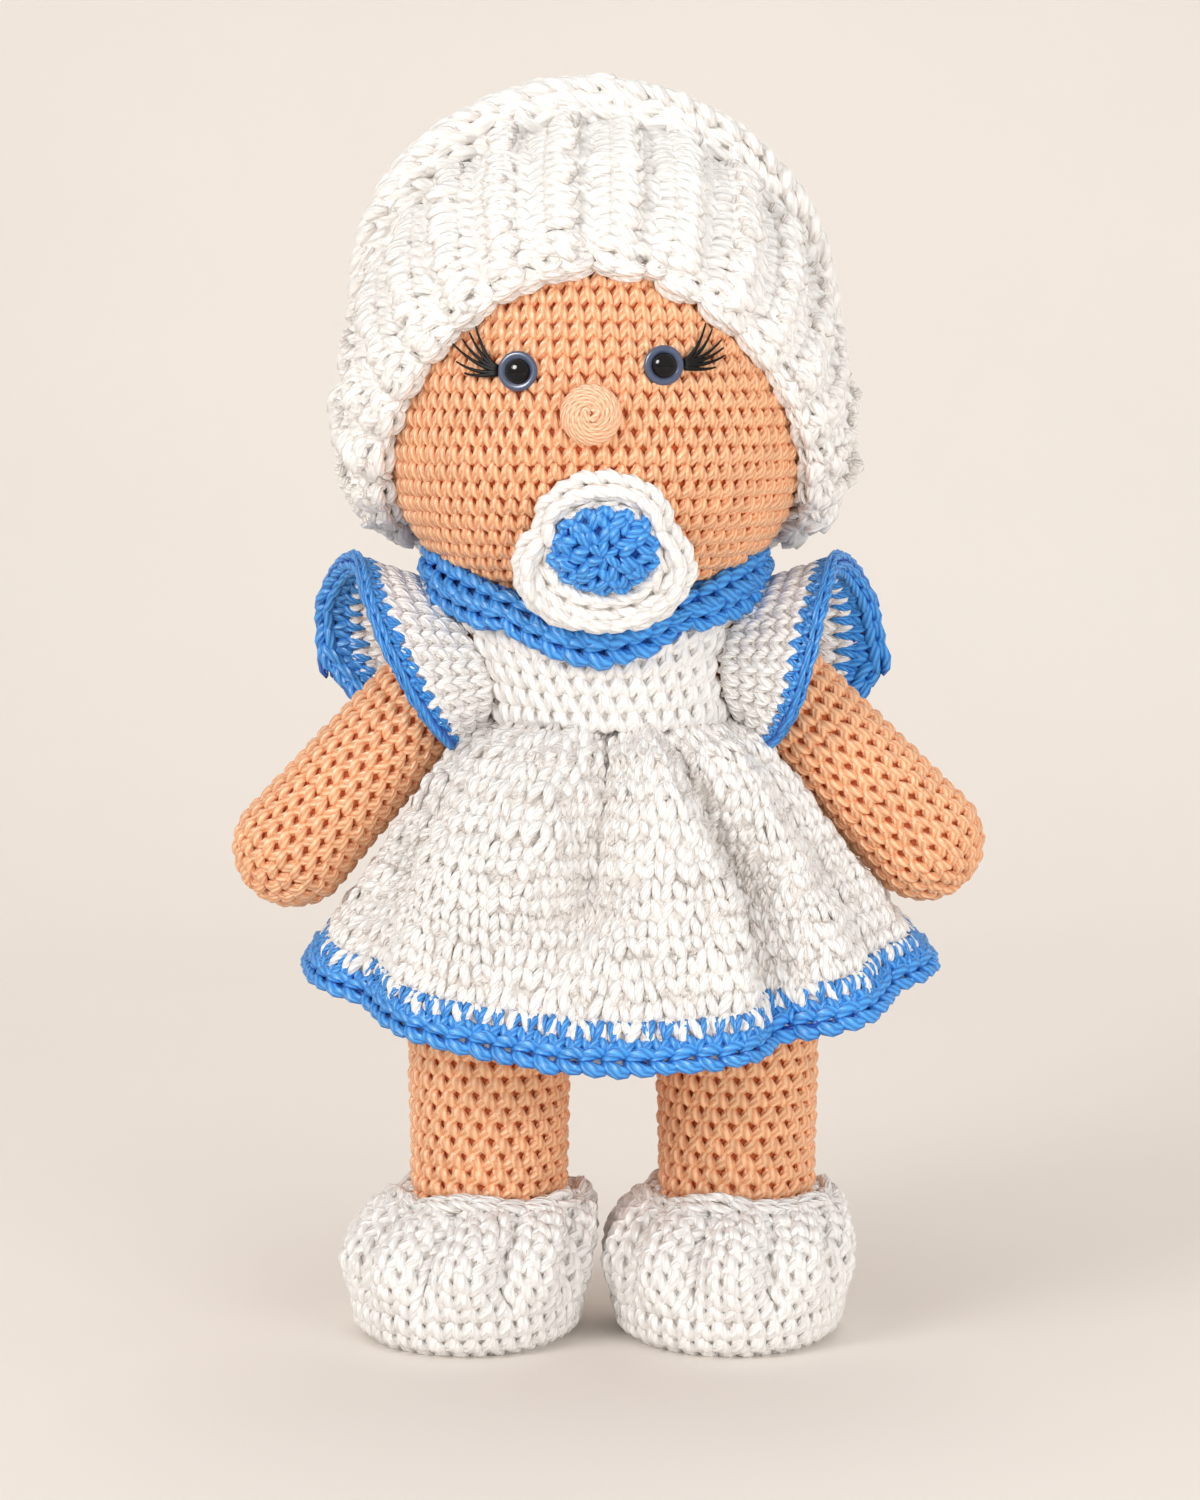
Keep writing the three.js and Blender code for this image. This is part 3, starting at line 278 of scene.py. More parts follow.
@surface
def crown_lining(around, share, lift):
    puff = mixed(15, crown_puff(around), eased(share, 0, 1))
    depth = np.where(share > 0.9, BONNET_ROOM, np.maximum(BONNET_ROOM, puff - 5))
    return bonnet_place(around, ridge_angle(around) * share, depth + lift)


# Share of the torso's height, and the shares there of hips, waist, shoulders and neck
TORSO_ROWS = np.array([
    [0, 0.96, 0, 0, 0], [0.06, 1, 0, 0, 0], [0.22, 0.95, 0.03, 0, 0], [0.42, 0.5, 0.55, 0, 0],
    [0.6, 0, 1.06, 0, 0], [0.72, 0, 1, 0, 0], [0.84, 0, 0, 1, 0], [0.91, 0, 0, 0.75, 0.25],
    [0.955, 0, 0, 0, 1], [1, 0, 0, 0, 1],
])
TORSO_WIDE, TORSO_DEEP = (67.5, 31.5, 33, 18.5), (34, 29, 31, 18.5)


@surface
def torso_place(turn, height, lift):
    share = (height - HIP_HEIGHT) / (NECK_TOP - HIP_HEIGHT)
    parts = [np.interp(share, TORSO_ROWS[:, 0], column) for column in TORSO_ROWS.T[1:]]
    wide, deep = (sum(part * size for part, size in zip(parts, sizes)) + lift for sizes in (TORSO_WIDE, TORSO_DEEP))
    return oval(turn, wide, deep, height, lean_at(height))


@surface
def underside_place(turn, share, lift):
    """Flat underside of the torso between the legs, from its middle (0) to its rim (1)."""
    return oval(turn, 64.8 * share, 32.6 * share, HIP_HEIGHT - lift)


ARM_PROFILE = smooth_through(
    [[ARM_RADIUS * math.cos(a), ARM_RADIUS * math.sin(a)] for a in np.linspace(1.03, 0, 5)]
    + [[mixed(ARM_RADIUS, HAND_RADIUS, s), -ARM_LENGTH * s] for s in (0.25, 0.5, 0.75)]
    + [[HAND_RADIUS * math.cos(a), -ARM_LENGTH - HAND_RADIUS * math.sin(a)] for a in np.linspace(0, QUARTER, 8)],
    200,
)


def arm_place(side):
    swing = -side * (0.759 if side > 0 else 0.721)
    middle = np.array([-2 + side * 46.4, 0, SHOULDER_HEIGHT])

    @surface
    def place(turn, share, lift):
        """Point of the arm from its root (0) to the tip of the hand (1)."""
        radius, height = profile_at(ARM_PROFILE, share)
        run, fall = (after - before for after, before in zip(
            profile_at(ARM_PROFILE, share + 0.01), profile_at(ARM_PROFILE, share - 0.01)))
        length = np.hypot(run, fall)
        radius = np.maximum(radius - lift * fall / length, 0)
        height = height + lift * run / length
        x, y = radius * np.cos(turn), radius * np.sin(turn)
        return middle + np.stack([
            x * math.cos(swing) + height * math.sin(swing), y,
            -x * math.sin(swing) + height * math.cos(swing),
        ], axis=-1)

    return place


def foot_middle(side, foot):
    """Middle of a leg, moved by a share towards that of its foot."""
    return LEG_MIDDLE + side * LEG_SPREAD + FOOT_SHIFT[side] * foot, FOOT_FORWARD * foot


def leg_place(side):
    @surface
    def place(turn, height, lift):
        foot = 1 - eased(height, FOOT_HEIGHT * 0.45, FOOT_HEIGHT)
        calf = mixed(*CALF, eased(height, FOOT_HEIGHT, HIP_HEIGHT))
        round_sole = mixed(0.82, 1, np.clip((height - 3.35) / 9, 0, 1) ** 0.6)
        wide, deep = ((mixed(calf, size, foot) + lift) * round_sole for size in (FOOT_WIDE, FOOT_DEEP))
        return oval(turn, wide, deep, height, *foot_middle(side, foot))

    return place


# Size, height and fullness of the puffs, from the rim of the sole to the ankle
BOOTIE_PROFILE = smooth_through([
    [0.76, 0, 0], [0.93, 0.1, 0], [0.98, 0.3, 0.1], [0.99, 0.5, 0.9], [0.96, 0.7, 1.1],
    [0.85, 0.88, 1], [0.68, 0.97, 0.4],
], 120)


def bootie_place(side):
    @surface
    def place(turn, share, lift):
        """Point of the bootie from the rim of its sole (0) to its ankle (1)."""
        size, high, puffed = profile_at(BOOTIE_PROFILE, share)
        height = FOOT_HEIGHT * high
        foot = 1 - eased(height, FOOT_HEIGHT * 0.55, FOOT_HEIGHT)
        puff = 9.5 * puffed * (np.abs(np.sin(turn * BOOTIE_LOBES + 0.3 * np.sin(turn * 2))) ** 0.95 - 0.66) + lift
        return oval(turn, BOOTIE_WIDE * size + puff, BOOTIE_DEEP * size + puff, height, *foot_middle(side, foot))

    return place


def cuff_place(side):
    @surface
    def place(turn, across, lift):
        """Upper face of the bootie's wavy frill, from the leg (0) to its drooping edge (1)."""
        wave = np.sin(turn * FRILL_WAVES + 0.8 * np.sin(turn * 2))
        bend = across * 2.0
        radius = FRILL_RADIUS + 2.6 * (1 - np.cos(bend)) + (0.9 * wave * across) + lift * np.sin(bend * 0.8)
        height = FRILL_HEIGHT - 3 * np.abs(np.cos(turn)) ** 1.5
        height = height + (4.2 + wave) * np.sin(0.5 + bend) + lift * np.cos(bend * 0.8)
        return oval(turn, radius, radius, height, foot_middle(side, 0)[0])

    return place


def bodice_reach(height):
    """Half width and half depth of the bodice."""
    flare = eased(height, SHOULDER_HEIGHT - ARMHOLE, NECK_TOP + 8)
    return mixed(*BODICE_WIDE, flare), mixed(*BODICE_DEEP, flare)


@surface
def bodice_place(turn, share, lift):
    height = mixed(WAIST_HEIGHT + 0.35, NECK_TOP - 10 + 18 * np.abs(np.cos(turn)) ** 3, share)
    wide, deep = bodice_reach(height)
    return oval(turn, wide + lift, deep + lift, height, lean_at(height))


# Each fold's turn at the waist, the middle and the hem, its width, and its depth at the same three levels
FOLDS = [
    ((-1.60, -1.70, -1.95), 0.15, (1.0, 1.1, 0.25)), ((-1.15, -0.97, -1.02), 0.13, (0.8, 1.4, 0.9)),
    ((-1.34, -1.16, -1.2), 0.13, (-0.3, -0.5, -0.3)), ((-2.05, -2.1, -2.2), 0.3, (-0.5, -0.45, -0.1)),
    ((-2.6, -2.58, -2.5), 0.14, (0.6, 0.6, 0.5)), ((-0.6, -0.55, -0.5), 0.16, (0.5, 0.55, 0.5)),
    ((0.55, 0.55, 0.6), 0.17, (0.6, 0.6, 0.4)), ((1.1, 1.05, 1.0), 0.16, (0.8, 0.9, 0.7)),
    ((1.5, 1.58, 1.62), 0.17, (0.9, 1.0, 0.7)), ((2.1, 2.12, 2.2), 0.17, (0.8, 0.8, 0.5)),
    ((2.6, 2.62, 2.6), 0.17, (0.6, 0.6, 0.4)),
]


def bell(start, turn, width):
    """One at a turn, falling to nothing beside it."""
    return np.exp(-((np.abs((turn - start + math.pi) % TURN - math.pi) / width) ** 2))


def skirt_dent(turn, share):
    """Depth of the folds, of the gathers at the waist and of the press of the arms."""
    folds = sum(table_at(depths, share) * bell(table_at(turns, share), turn, width) for turns, width, depths in FOLDS)
    press = sum(bell(side, turn, 0.3) for side in (0, math.pi))
    gathers = 1.3 * np.sin(turn * SKIRT_GATHERS) * (1 - np.clip(share, 0, 1)) ** 3
    return (
        table_at([10, 18, 13], share) * folds + gathers
        + 15.5 * table_at([0.3, 0.9, 1, 1, 1, 0.85, 0.65, 0.45, 0.3], share) * press
    )


@surface
def skirt_place(turn, share, lift):
    spread = np.clip(share, 0, None) ** 0.62
    dent = skirt_dent(turn, share) - lift
    height = WAIST_HEIGHT - mixed(*SKIRT_LONG, np.sin(turn) ** 2) * share
    return oval(turn, mixed(*SKIRT_WIDE, spread) - dent, mixed(*SKIRT_DEEP, spread) - dent, height, 3 * share)


@surface
def hem_edge_place(turn, across, lift):
    """Rounded lower edge of the skirt, from its outer face (0) to its inner face (1)."""
    bend = across * math.pi
    wall = skirt_place(turn, 1.0 - 2.2 / 90, GROUND + (1.9 + lift) * np.cos(bend))
    return wall - np.stack([0 * turn, 0 * turn, (1.9 + lift) * np.sin(bend)], axis=-1)


@surface
def collar_place(turn, across, lift):
    """Outer face of the collar band, from its lower, lobed edge (0) to its upper edge (1)."""
    middle = NECK_TOP - 7 + 19.5 * np.abs(np.cos(turn)) ** 1.6
    lobe = 4.4 * np.abs(np.sin(turn * COLLAR_LOBES)) ** 0.7
    height = middle + 8 * (across - 0.5) - lobe * (1 - across) + 0.8
    proud = 2.25 - 1.2 * np.abs(2 * across - 1) ** 2 + lift
    return oval(turn, COLLAR_WIDE + proud, COLLAR_DEEP + proud, height, HEAD_LEAN)


def flutter_place(side):
    @surface
    def place(share, across, lift):
        """Point of the sleeve flutter, from its front end (0) to its back end (1), seam to free edge."""
        angle = mixed(*SLEEVE_TURN, share)
        y = -(mixed(*SLEEVE_FORE, across) + lift) * np.cos(angle)
        z = SHOULDER_HEIGHT + (mixed(*SLEEVE_RISE, across) + lift) * np.sin(angle)
        seam_z = SHOULDER_HEIGHT + SLEEVE_SEAM * np.sin(angle)
        wide, deep = bodice_reach(seam_z)
        seam = wide * np.sqrt(1 - (SLEEVE_SEAM * np.cos(angle) / deep) ** 2) + 1.75
        reach = mixed(51, 93, table_at([0, 0.22, 0.4, 0.53, 0.62, 0.78, 0.96, 1, 0.7], share))
        return np.stack([lean_at(seam_z) + side * mixed(seam, reach, across), y, z], axis=-1)

    return place


def flutter_edge_place(side):
    face = flutter_place(side)

    @surface
    def place(share, across, lift):
        """Rounded free edge of the flutter, from its outer face (0) to its inner face (1)."""
        bend = across * math.pi
        return face(share, 1.0 + ((1.6 + lift) * np.sin(bend) - 1.6) / 40, (1.8 + lift) * np.cos(bend))

    return place


def shield_reach(turn):
    """Reach of the pacifier's shield: the further of two ovals, one over the other."""
    reaches = []
    for wide, high, centre in SHIELD_OVALS:
        across, up = np.cos(turn) / wide, np.sin(turn) / high
        square, half = across ** 2 + up ** 2, up * centre / high
        reaches.append((half + np.sqrt(half ** 2 - square * ((centre / high) ** 2 - 1))) / square)
    return np.maximum(*reaches)


def on_mouth(turn, wide, high, deep):
    """Points of an upright oval in front of the pacifier's seat, leaned on the mouth."""
    x, y, z = wide * np.cos(turn), deep + 0 * turn, high * np.sin(turn) - 21.5
    cos, sin = math.cos(MOUTH_LEAN), math.sin(MOUTH_LEAN)
    seat = np.array([HEAD_LEAN + 2.5, face_place(0, MOUTH_DROP, 0.35)[1], HEAD_LEVEL + MOUTH_DROP])
    return np.stack([x, y * cos - z * sin, y * sin + z * cos], axis=-1) + seat


@surface
def shield_place(turn, share, lift):
    """Face of the shield from its middle (0) to its edge (1) and round to its back (2)."""
    reach, half = shield_reach(turn), 2.1
    bend = np.clip(share - 0.9, 0, None) / 0.1 * QUARTER
    out = np.where(share <= 0.9, share / 0.9 * (reach - half), reach - half + (half + lift) * np.sin(bend))
    deep = np.where(share <= 0.9, half + lift, (half + lift) * np.cos(bend))
    return on_mouth(turn, out, out, -half - deep)


@surface
def button_place(turn, share, lift):
    """Domed face of the button from its middle (0) to its foot (1)."""
    slope = share * math.pi / 2
    size = np.sin(slope) ** 0.9
    deep = 4.55 + (6.5 + lift) * np.cos(slope) ** 0.75
    return on_mouth(turn, (BUTTON_WIDE + lift) * size, (BUTTON_HIGH + lift) * size, -deep)


# ---------------------------------------------------------------- meshes

def linked(name, data):
    obj = bpy.data.objects.new(name, data)
    bpy.context.scene.collection.objects.link(obj)
    return obj


def smooth_mesh(name, points, faces):
    mesh = bpy.data.meshes.new(name)
    mesh.from_pydata((np.asarray(points, float) * MM).tolist(), [], faces)
    mesh.shade_smooth()
    return mesh


def marked(mesh, label, values, kind="FLOAT"):
    """Writes an attribute of the mesh's points."""
    layer = mesh.attributes.new(label, kind, "POINT")
    layer.data.foreach_set("value" if kind == "FLOAT" else "vector", np.asarray(values, float).ravel())


def rings_at(place, columns, levels, lift=0.0):
    """Rings of a surface that closes round."""
    turn = np.linspace(0, TURN, columns, endpoint=False)
    return [place(turn, level, lift) for level in levels]


def ends(rings):
    return rings[0].mean(axis=0), rings[-1].mean(axis=0)


def loft(name, rings, poles=None, lids=False):
    """Solid through closed rings in a row, faces outwards. Without poles or lids the row closes on itself."""
    size, last = len(rings[0]), (len(rings) - 1) * len(rings[0])
    points = np.vstack(rings)
    count = len(points)
    rows = len(rings) if poles is None and not lids else len(rings) - 1
    faces = [
        (row * size + k, row * size + (k + 1) % size,
         (row + 1) * size % count + (k + 1) % size, (row + 1) * size % count + k)
        for row in range(rows) for k in range(size)
    ]
    if poles is not None:
        points = np.vstack([points, *[np.asarray(pole, float)[None] for pole in poles]])
        faces += [(count, (k + 1) % size, k) for k in range(size)]
        faces += [(count + 1, last + k, last + (k + 1) % size) for k in range(size)]
    if lids:
        faces += [tuple(range(size))[::-1], tuple(range(last, count))]
    mesh = smooth_mesh(name, points, faces)
    volume = sum(
        points[face[0]] @ np.cross(points[b], points[c]) for face in faces for b, c in zip(face[1:-1], face[2:]))
    if volume < 0:
        mesh.flip_normals()
    mesh.validate()
    return linked(name, mesh)


def shell(name, place, levels, outer, inner, columns):
    """Wall between two lifts of a surface that closes round."""
    return loft(name, rings_at(place, columns, levels, outer) + rings_at(place, columns, levels[::-1], inner))


def strip(name, place, columns, across, lift):
    """Wall to both sides of a surface that is open both ways."""
    sections = [
        np.vstack([place(at, across, lift), place(at, across, -lift)[::-1]]) for at in np.linspace(0, 1, columns)]
    return loft(name, sections, ends(sections))


def lathe(name, middle, axis, profile, columns):
    """Turned piece: a profile of radius and height along an axis, closed at both ends."""
    axis = unit(np.asarray(axis, float))
    side = unit(np.cross(axis, [0.0, 0.0, 1.0]))
    up = np.cross(side, axis)
    turn = np.linspace(0, TURN, columns, endpoint=False)
    rings = [
        middle + axis * height + radius * (np.outer(np.cos(turn), side) + np.outer(np.sin(turn), up))
        for radius, height in profile[1:-1]
    ]
    return loft(name, rings, (middle + axis * profile[0][1], middle + axis * profile[-1][1]))


def cut(obj, cutter):
    """Takes one solid out of another and leaves a plain mesh."""
    knife = obj.modifiers.new("cut", "BOOLEAN")
    knife.object, knife.operation, knife.solver = cutter, "DIFFERENCE", "EXACT"
    graph = bpy.context.evaluated_depsgraph_get()
    mesh = bpy.data.meshes.new_from_object(obj.evaluated_get(graph))
    obj.modifiers.clear()
    obj.data = mesh
    bpy.data.objects.remove(cutter)


def strand_mesh(name, strands, sides, beside):
    """Round strands as one mesh with coordinates along the yarn, and its points.

    A strand is rows of x, y, z and radius.
    """
    points, faces, coords = [], [], []
    angles = np.arange(sides) * TURN / sides
    for strand in strands:
        path, radii = np.split(np.asarray(strand, float), [3], axis=1)
        tangent = unit(np.gradient(path, axis=0))
        side = unit(np.cross(tangent, beside))
        top = np.cross(side, tangent)
        length = run_of(path)
        first, last = len(points), len(points) + (len(path) - 1) * sides
        for k, radius in enumerate(radii):
            ring = path[k] + radius * (np.outer(np.cos(angles), side[k]) + np.outer(np.sin(angles), top[k]))
            points += ring.tolist()
        for k in range(len(path) - 1):
            for j in range(sides):
                a, b = first + k * sides + j, first + k * sides + (j + 1) % sides
                faces.append((a, b, b + sides, a + sides))
                coords += [(j / sides, length[k]), ((j + 1) / sides, length[k]),
                           ((j + 1) / sides, length[k + 1]), (j / sides, length[k + 1])]
        faces += [tuple(range(first, first + sides))[::-1], tuple(range(last, last + sides))]
        coords += [(j / sides, 0.0) for j in range(sides)][::-1] + [(j / sides, length[-1]) for j in range(sides)]
    mesh = smooth_mesh(name, points, faces)
    mesh.uv_layers.new(name="yarn").data.foreach_set("uv", np.array(coords, float).ravel())
    return mesh, np.array(points)


def threads(name, paths, sides=8):
    """Sewn or wound threads through points in millimetres."""
    mesh, points = strand_mesh(name, paths, sides, (0.0, -1.0, 0.02))
    # Painted shade round each thread: the side facing the front keeps the full colour, the side facing back takes more
    # of the yarn's shade colour.
    marked(mesh, "rise", np.tile(0.75 + 0.25 * np.sin(np.arange(sides) * TURN / sides), len(points) // sides))
    marked(mesh, "tone", np.full(len(points), 0.5))
    bm = bmesh.new()
    bm.from_mesh(mesh)
    bmesh.ops.recalc_face_normals(bm, faces=bm.faces)
    bm.to_mesh(mesh)
    bm.free()
    return linked(name, mesh)


# ---------------------------------------------------------------- stitches

Stitches = namedtuple("Stitches", "place out up size")


def joined(*parts):
    return Stitches(*map(np.vstack, zip(*parts)))


def even_rows(place, start, end, height, at=-QUARTER):
    """Limits of rows of one height along a surface, measured at one turn."""
    level = np.linspace(start, end, 600)
    run = run_of(place(at, level))
    count = max(1, round(run[-1] / height))
    return np.interp(np.linspace(0, run[-1], count + 1), run, level)


def lay(place, rows, cell, lift=0.0, lean=0.0, inner=False, end=TURN, keep=None, along=False, first=0.0, tilt=0.0,
        thick=1.0):
    """Lays one stitch in each cell of the rows, evenly along each row.

    lean shifts each row by that share of a stitch and first shifts them all, inner turns
    them to the back of the cloth, along points them along the row, tilt turns each one
    about its way out, thick is the yarn's, and keep tells which ones stay.
    """
    found = []
    small = end * 1e-3
    turn = np.linspace(0, end, 1441)
    for row, (low, high) in enumerate(zip(rows[:-1], rows[1:])):
        level = (low + high) / 2
        run = run_of(place(turn, level, lift))
        count = max(3, round(run[-1] / (cell[1] if along else cell[0])))
        pitch = run[-1] / count
        at = (np.arange(count) + 0.5 + (first + row * lean) % 1) * pitch
        at = at % run[-1] if end == TURN else at[at < run[-1]]
        u = np.interp(at, run, turn)
        centre = place(u, level, lift)
        right = place(u + small, level, lift) - place(u - small, level, lift)
        up = place(u, high, lift) - place(u, low, lift)
        out = unit(np.cross(right, up))
        out *= np.sign(np.sum(out * (place(u, level, lift + 0.5) - centre), axis=-1))[:, None]
        tall = np.linalg.norm(up, axis=-1)
        wide = np.full_like(tall, pitch)
        if inner:
            out = -out
        up = unit(up - out * np.sum(up * out, axis=-1)[:, None])
        if along:
            up, wide, tall = unit(right), tall, wide
        if tilt:
            up = up * math.cos(tilt) + np.cross(up, out) * math.sin(tilt)
        deep = np.clip(np.sqrt(wide / cell[0] * tall / cell[1]), 0.75, 1.15)
        size = np.stack([wide / cell[0], tall / cell[1], deep], axis=-1) * thick
        mask = np.ones(len(u), bool) if keep is None else keep(centre, level)
        found.append(Stitches(centre[mask], out[mask], up[mask], size[mask]))
    return joined(*found)


def lay_both(place, rows, cell, front, back, **ways):
    """Stitches on the front of the cloth and on its back, at their own lifts."""
    return joined(lay(place, rows, cell, front, **ways), lay(place, rows, cell, back, inner=True, **ways))


# Width and height of each kind of stitch, and its strands: x along the row, y to the next row, z out, radius

SINGLE = (5.2, 5.6), [
    [(-2.1, 3.4, -2.4, 0.8), (-2.35, 2.2, -1.0, 1.3), (-1.95, 0.9, -0.35, 1.6),
     (-1.2, -0.6, -0.3, 1.58), (-0.45, -1.8, -0.8, 1.32), (0.0, -3.0, -2.3, 0.8)],
    [(1.9, 3.3, -2.4, 0.8), (2.2, 2.1, -1.05, 1.28), (1.9, 0.8, -0.45, 1.54),
     (1.3, -0.7, -0.5, 1.48), (0.8, -1.9, -1.0, 1.24), (0.6, -2.9, -2.4, 0.75)],
]
TALL = (6.8, 13.3), [
    [(-0.9, -7.8, -2.4, 0.8), (-1.3, -6.1, -1.0, 1.45), (-1.75, -3.9, -0.4, 1.82),
     (-2.15, -1.6, -0.6, 1.65), (-2.5, 0.9, -2.1, 0.85)],
    [(0.8, -7.7, -2.4, 0.8), (1.15, -6.0, -1.05, 1.4), (1.6, -3.8, -0.45, 1.76),
     (2.0, -1.5, -0.65, 1.6), (2.4, 1.0, -2.1, 0.85)],
    [(-3.1, 7.6, -2.4, 0.8), (-2.75, 5.8, -1.1, 1.45), (-2.1, 3.5, -0.4, 1.86),
     (-1.2, 1.2, -0.5, 1.7), (-0.3, -1.2, -2.0, 0.9)],
    [(2.9, 7.5, -2.4, 0.8), (2.55, 5.7, -1.15, 1.4), (2.0, 3.4, -0.45, 1.8),
     (1.2, 1.1, -0.55, 1.65), (0.4, -1.1, -2.0, 0.9)],
]
CHAIN = (5.4, 6.2), [
    [(-0.9, 5.0, -2.0, 0.9), (-2.2, 3.5, -0.8, 1.5), (-2.3, 1.3, -0.25, 1.9),
     (-1.45, -1.1, -0.35, 1.8), (-0.2, -3.4, -1.6, 1.0)],
    [(0.9, 5.0, -2.0, 0.9), (2.2, 3.5, -0.8, 1.5), (2.3, 1.3, -0.25, 1.9),
     (1.45, -1.1, -0.35, 1.8), (0.2, -3.4, -1.6, 1.0)],
]
RIB = (8.8, 4.1), [
    [(-5.3, 2.4, -1.5, 1.3), (-4.2, 1.3, -0.6, 1.6), (-2.8, 0.2, -0.15, 1.84),
     (-1.3, -0.6, -0.3, 1.8), (0.4, -1.1, -0.9, 1.5)],
    [(5.2, 2.3, -1.6, 1.25), (4.2, 1.2, -0.65, 1.55), (2.9, 0.1, -0.2, 1.78),
     (1.4, -0.7, -0.35, 1.74), (-0.2, -1.3, -1.0, 1.45)],
]
TOOTH = (5.4, 6.0), [
    [(-1.3, -3.4, -1.2, 1.2), (-0.6, -1.2, -0.2, 1.15), (0.1, 1.0, -0.1, 0.85), (0.5, 3.1, -0.6, 0.3)],
    [(1.5, -3.4, -1.2, 1.1), (1.2, -1.2, -0.3, 1.0), (0.8, 1.0, -0.2, 0.75), (0.5, 3.1, -0.6, 0.3)],
]


def node(tree, kind, inputs=None, **values):
    """A new node with its values set. Each input is a socket to link or a plain value."""
    made = tree.nodes.new(kind)
    for key, value in values.items():
        setattr(made, key, value)
    for key, value in (inputs or {}).items():
        if isinstance(value, bpy.types.NodeSocket):
            tree.links.new(value, made.inputs[key])
        else:
            made.inputs[key].default_value = value
    return made


def stitch_tree():
    """Geometry nodes that put one stitch on each laid point, each a little uneven."""
    tree = bpy.data.node_groups.new("Laid stitches", "GeometryNodeTree")
    tree.interface.new_socket("Geometry", in_out="OUTPUT", socket_type="NodeSocketGeometry")
    tree["sockets"] = {
        label: tree.interface.new_socket(label, in_out="INPUT", socket_type="NodeSocket" + kind).identifier
        for label, kind in (("Geometry", "Geometry"), ("Stitch", "Object"), ("Yarn", "Material"),
                            ("Turn unevenness", "Float"), ("Size unevenness", "Float"), ("Seed", "Int"))
    }
    given = node(tree, "NodeGroupInput").outputs

    def first_of(kind, inputs, **values):
        return node(tree, kind, inputs, **values).outputs[0]

    def named(label):
        return first_of("GeometryNodeInputNamedAttribute", {"Name": label}, data_type="FLOAT_VECTOR")

    def spread(amount, shift):
        """A random vector between minus and plus an amount."""
        low, high = (first_of("ShaderNodeVectorMath", {0: (sign, sign, sign), "Scale": amount}, operation="SCALE")
                     for sign in (-1, 1))
        seed = first_of("ShaderNodeMath", {0: given["Seed"], 1: shift}, operation="ADD")
        return first_of("FunctionNodeRandomValue", {0: low, 1: high, "Seed": seed}, data_type="FLOAT_VECTOR")

    facing = first_of("FunctionNodeAxesToRotation", {0: named("out"), 1: named("up")},
                      primary_axis="Z", secondary_axis="Y")
    twist = first_of("FunctionNodeEulerToRotation", {0: spread(given["Turn unevenness"], 11)})
    turned = first_of("FunctionNodeRotateRotation", {0: facing, 1: twist}, rotation_space="LOCAL")
    grown = first_of("ShaderNodeVectorMath", {0: (1, 1, 1), 1: spread(given["Size unevenness"], 23)}, operation="ADD")
    size = first_of("ShaderNodeVectorMath", {0: named("size"), 1: grown}, operation="MULTIPLY")
    stitch = node(tree, "GeometryNodeObjectInfo", {"Object": given["Stitch"]}, transform_space="ORIGINAL")
    copies = first_of("GeometryNodeInstanceOnPoints", {
        "Points": given["Geometry"], "Instance": stitch.outputs["Geometry"], "Rotation": turned, "Scale": size})
    tone = node(tree, "FunctionNodeRandomValue", {"Seed": given["Seed"]}, data_type="FLOAT").outputs[1]
    kept = first_of("GeometryNodeStoreNamedAttribute", {"Name": "tone", "Geometry": copies, "Value": tone},
                    data_type="FLOAT", domain="INSTANCE")
    real = first_of("GeometryNodeRealizeInstances", {0: kept})
    worked = first_of("GeometryNodeSetMaterial", {"Geometry": real, "Material": given["Yarn"]})
    node(tree, "NodeGroupOutput", {"Geometry": worked})
    return tree


def work(name, laid, cell, kind, colour, body, shift=0, turn=0.06, size=0.06):
    """Works the cloth of one piece and rides it: one stitch of a kind on each laid place, baked to a plain mesh."""
    own, strands = kind
    factor = np.array([cell[0] / own[0], cell[1] / own[1], 1.0])
    factor[2] = min(factor[0], factor[1])
    tree = bpy.data.node_groups.get("Laid stitches") or stitch_tree()
    mesh, points = strand_mesh("stitch", strands, 6, (0.0, 0.0, 1.0))
    # Height of each point in the stitch, which the yarn's colour reads to paint shade on the strands' low, sunk ends.
    low, high = points[:, 2].min(), points[:, 2].max()
    marked(mesh, "rise", (points[:, 2] - low) / (high - low))
    template = linked("stitch", mesh)
    places = linked(name + "_places", smooth_mesh(name + "_places", laid.place, []))
    for label, values in (("out", laid.out), ("up", laid.up), ("size", laid.size * factor)):
        marked(places.data, label, values, "FLOAT_VECTOR")
    worked = places.modifiers.new("Laid stitches", "NODES")
    worked.node_group = tree
    sizes = stitch_sizes()
    for label, value in (
        ("Stitch", template), ("Yarn", cotton(colour)), ("Turn unevenness", turn * sizes.unevenness),
        ("Size unevenness", size * sizes.unevenness), ("Seed", sizes.seed + shift),
    ):
        worked[tree["sockets"][label]] = value
    graph = bpy.context.evaluated_depsgraph_get()
    baked = bpy.data.meshes.new_from_object(places.evaluated_get(graph), preserve_all_data_layers=True, depsgraph=graph)
    baked.name = name
    if not baked.polygons:
        raise RuntimeError(name + ": no stitch was made")
    for old in (places, template):
        data = old.data
        bpy.data.objects.remove(old)
        bpy.data.meshes.remove(data)
    return finished(linked(name, baked), body)


# ---------------------------------------------------------------- materials

def linear(colour):
    return [c / 12.92 if c <= 0.04045 else ((c + 0.055) / 1.055) ** 2.4 for c in colour] + [1.0]


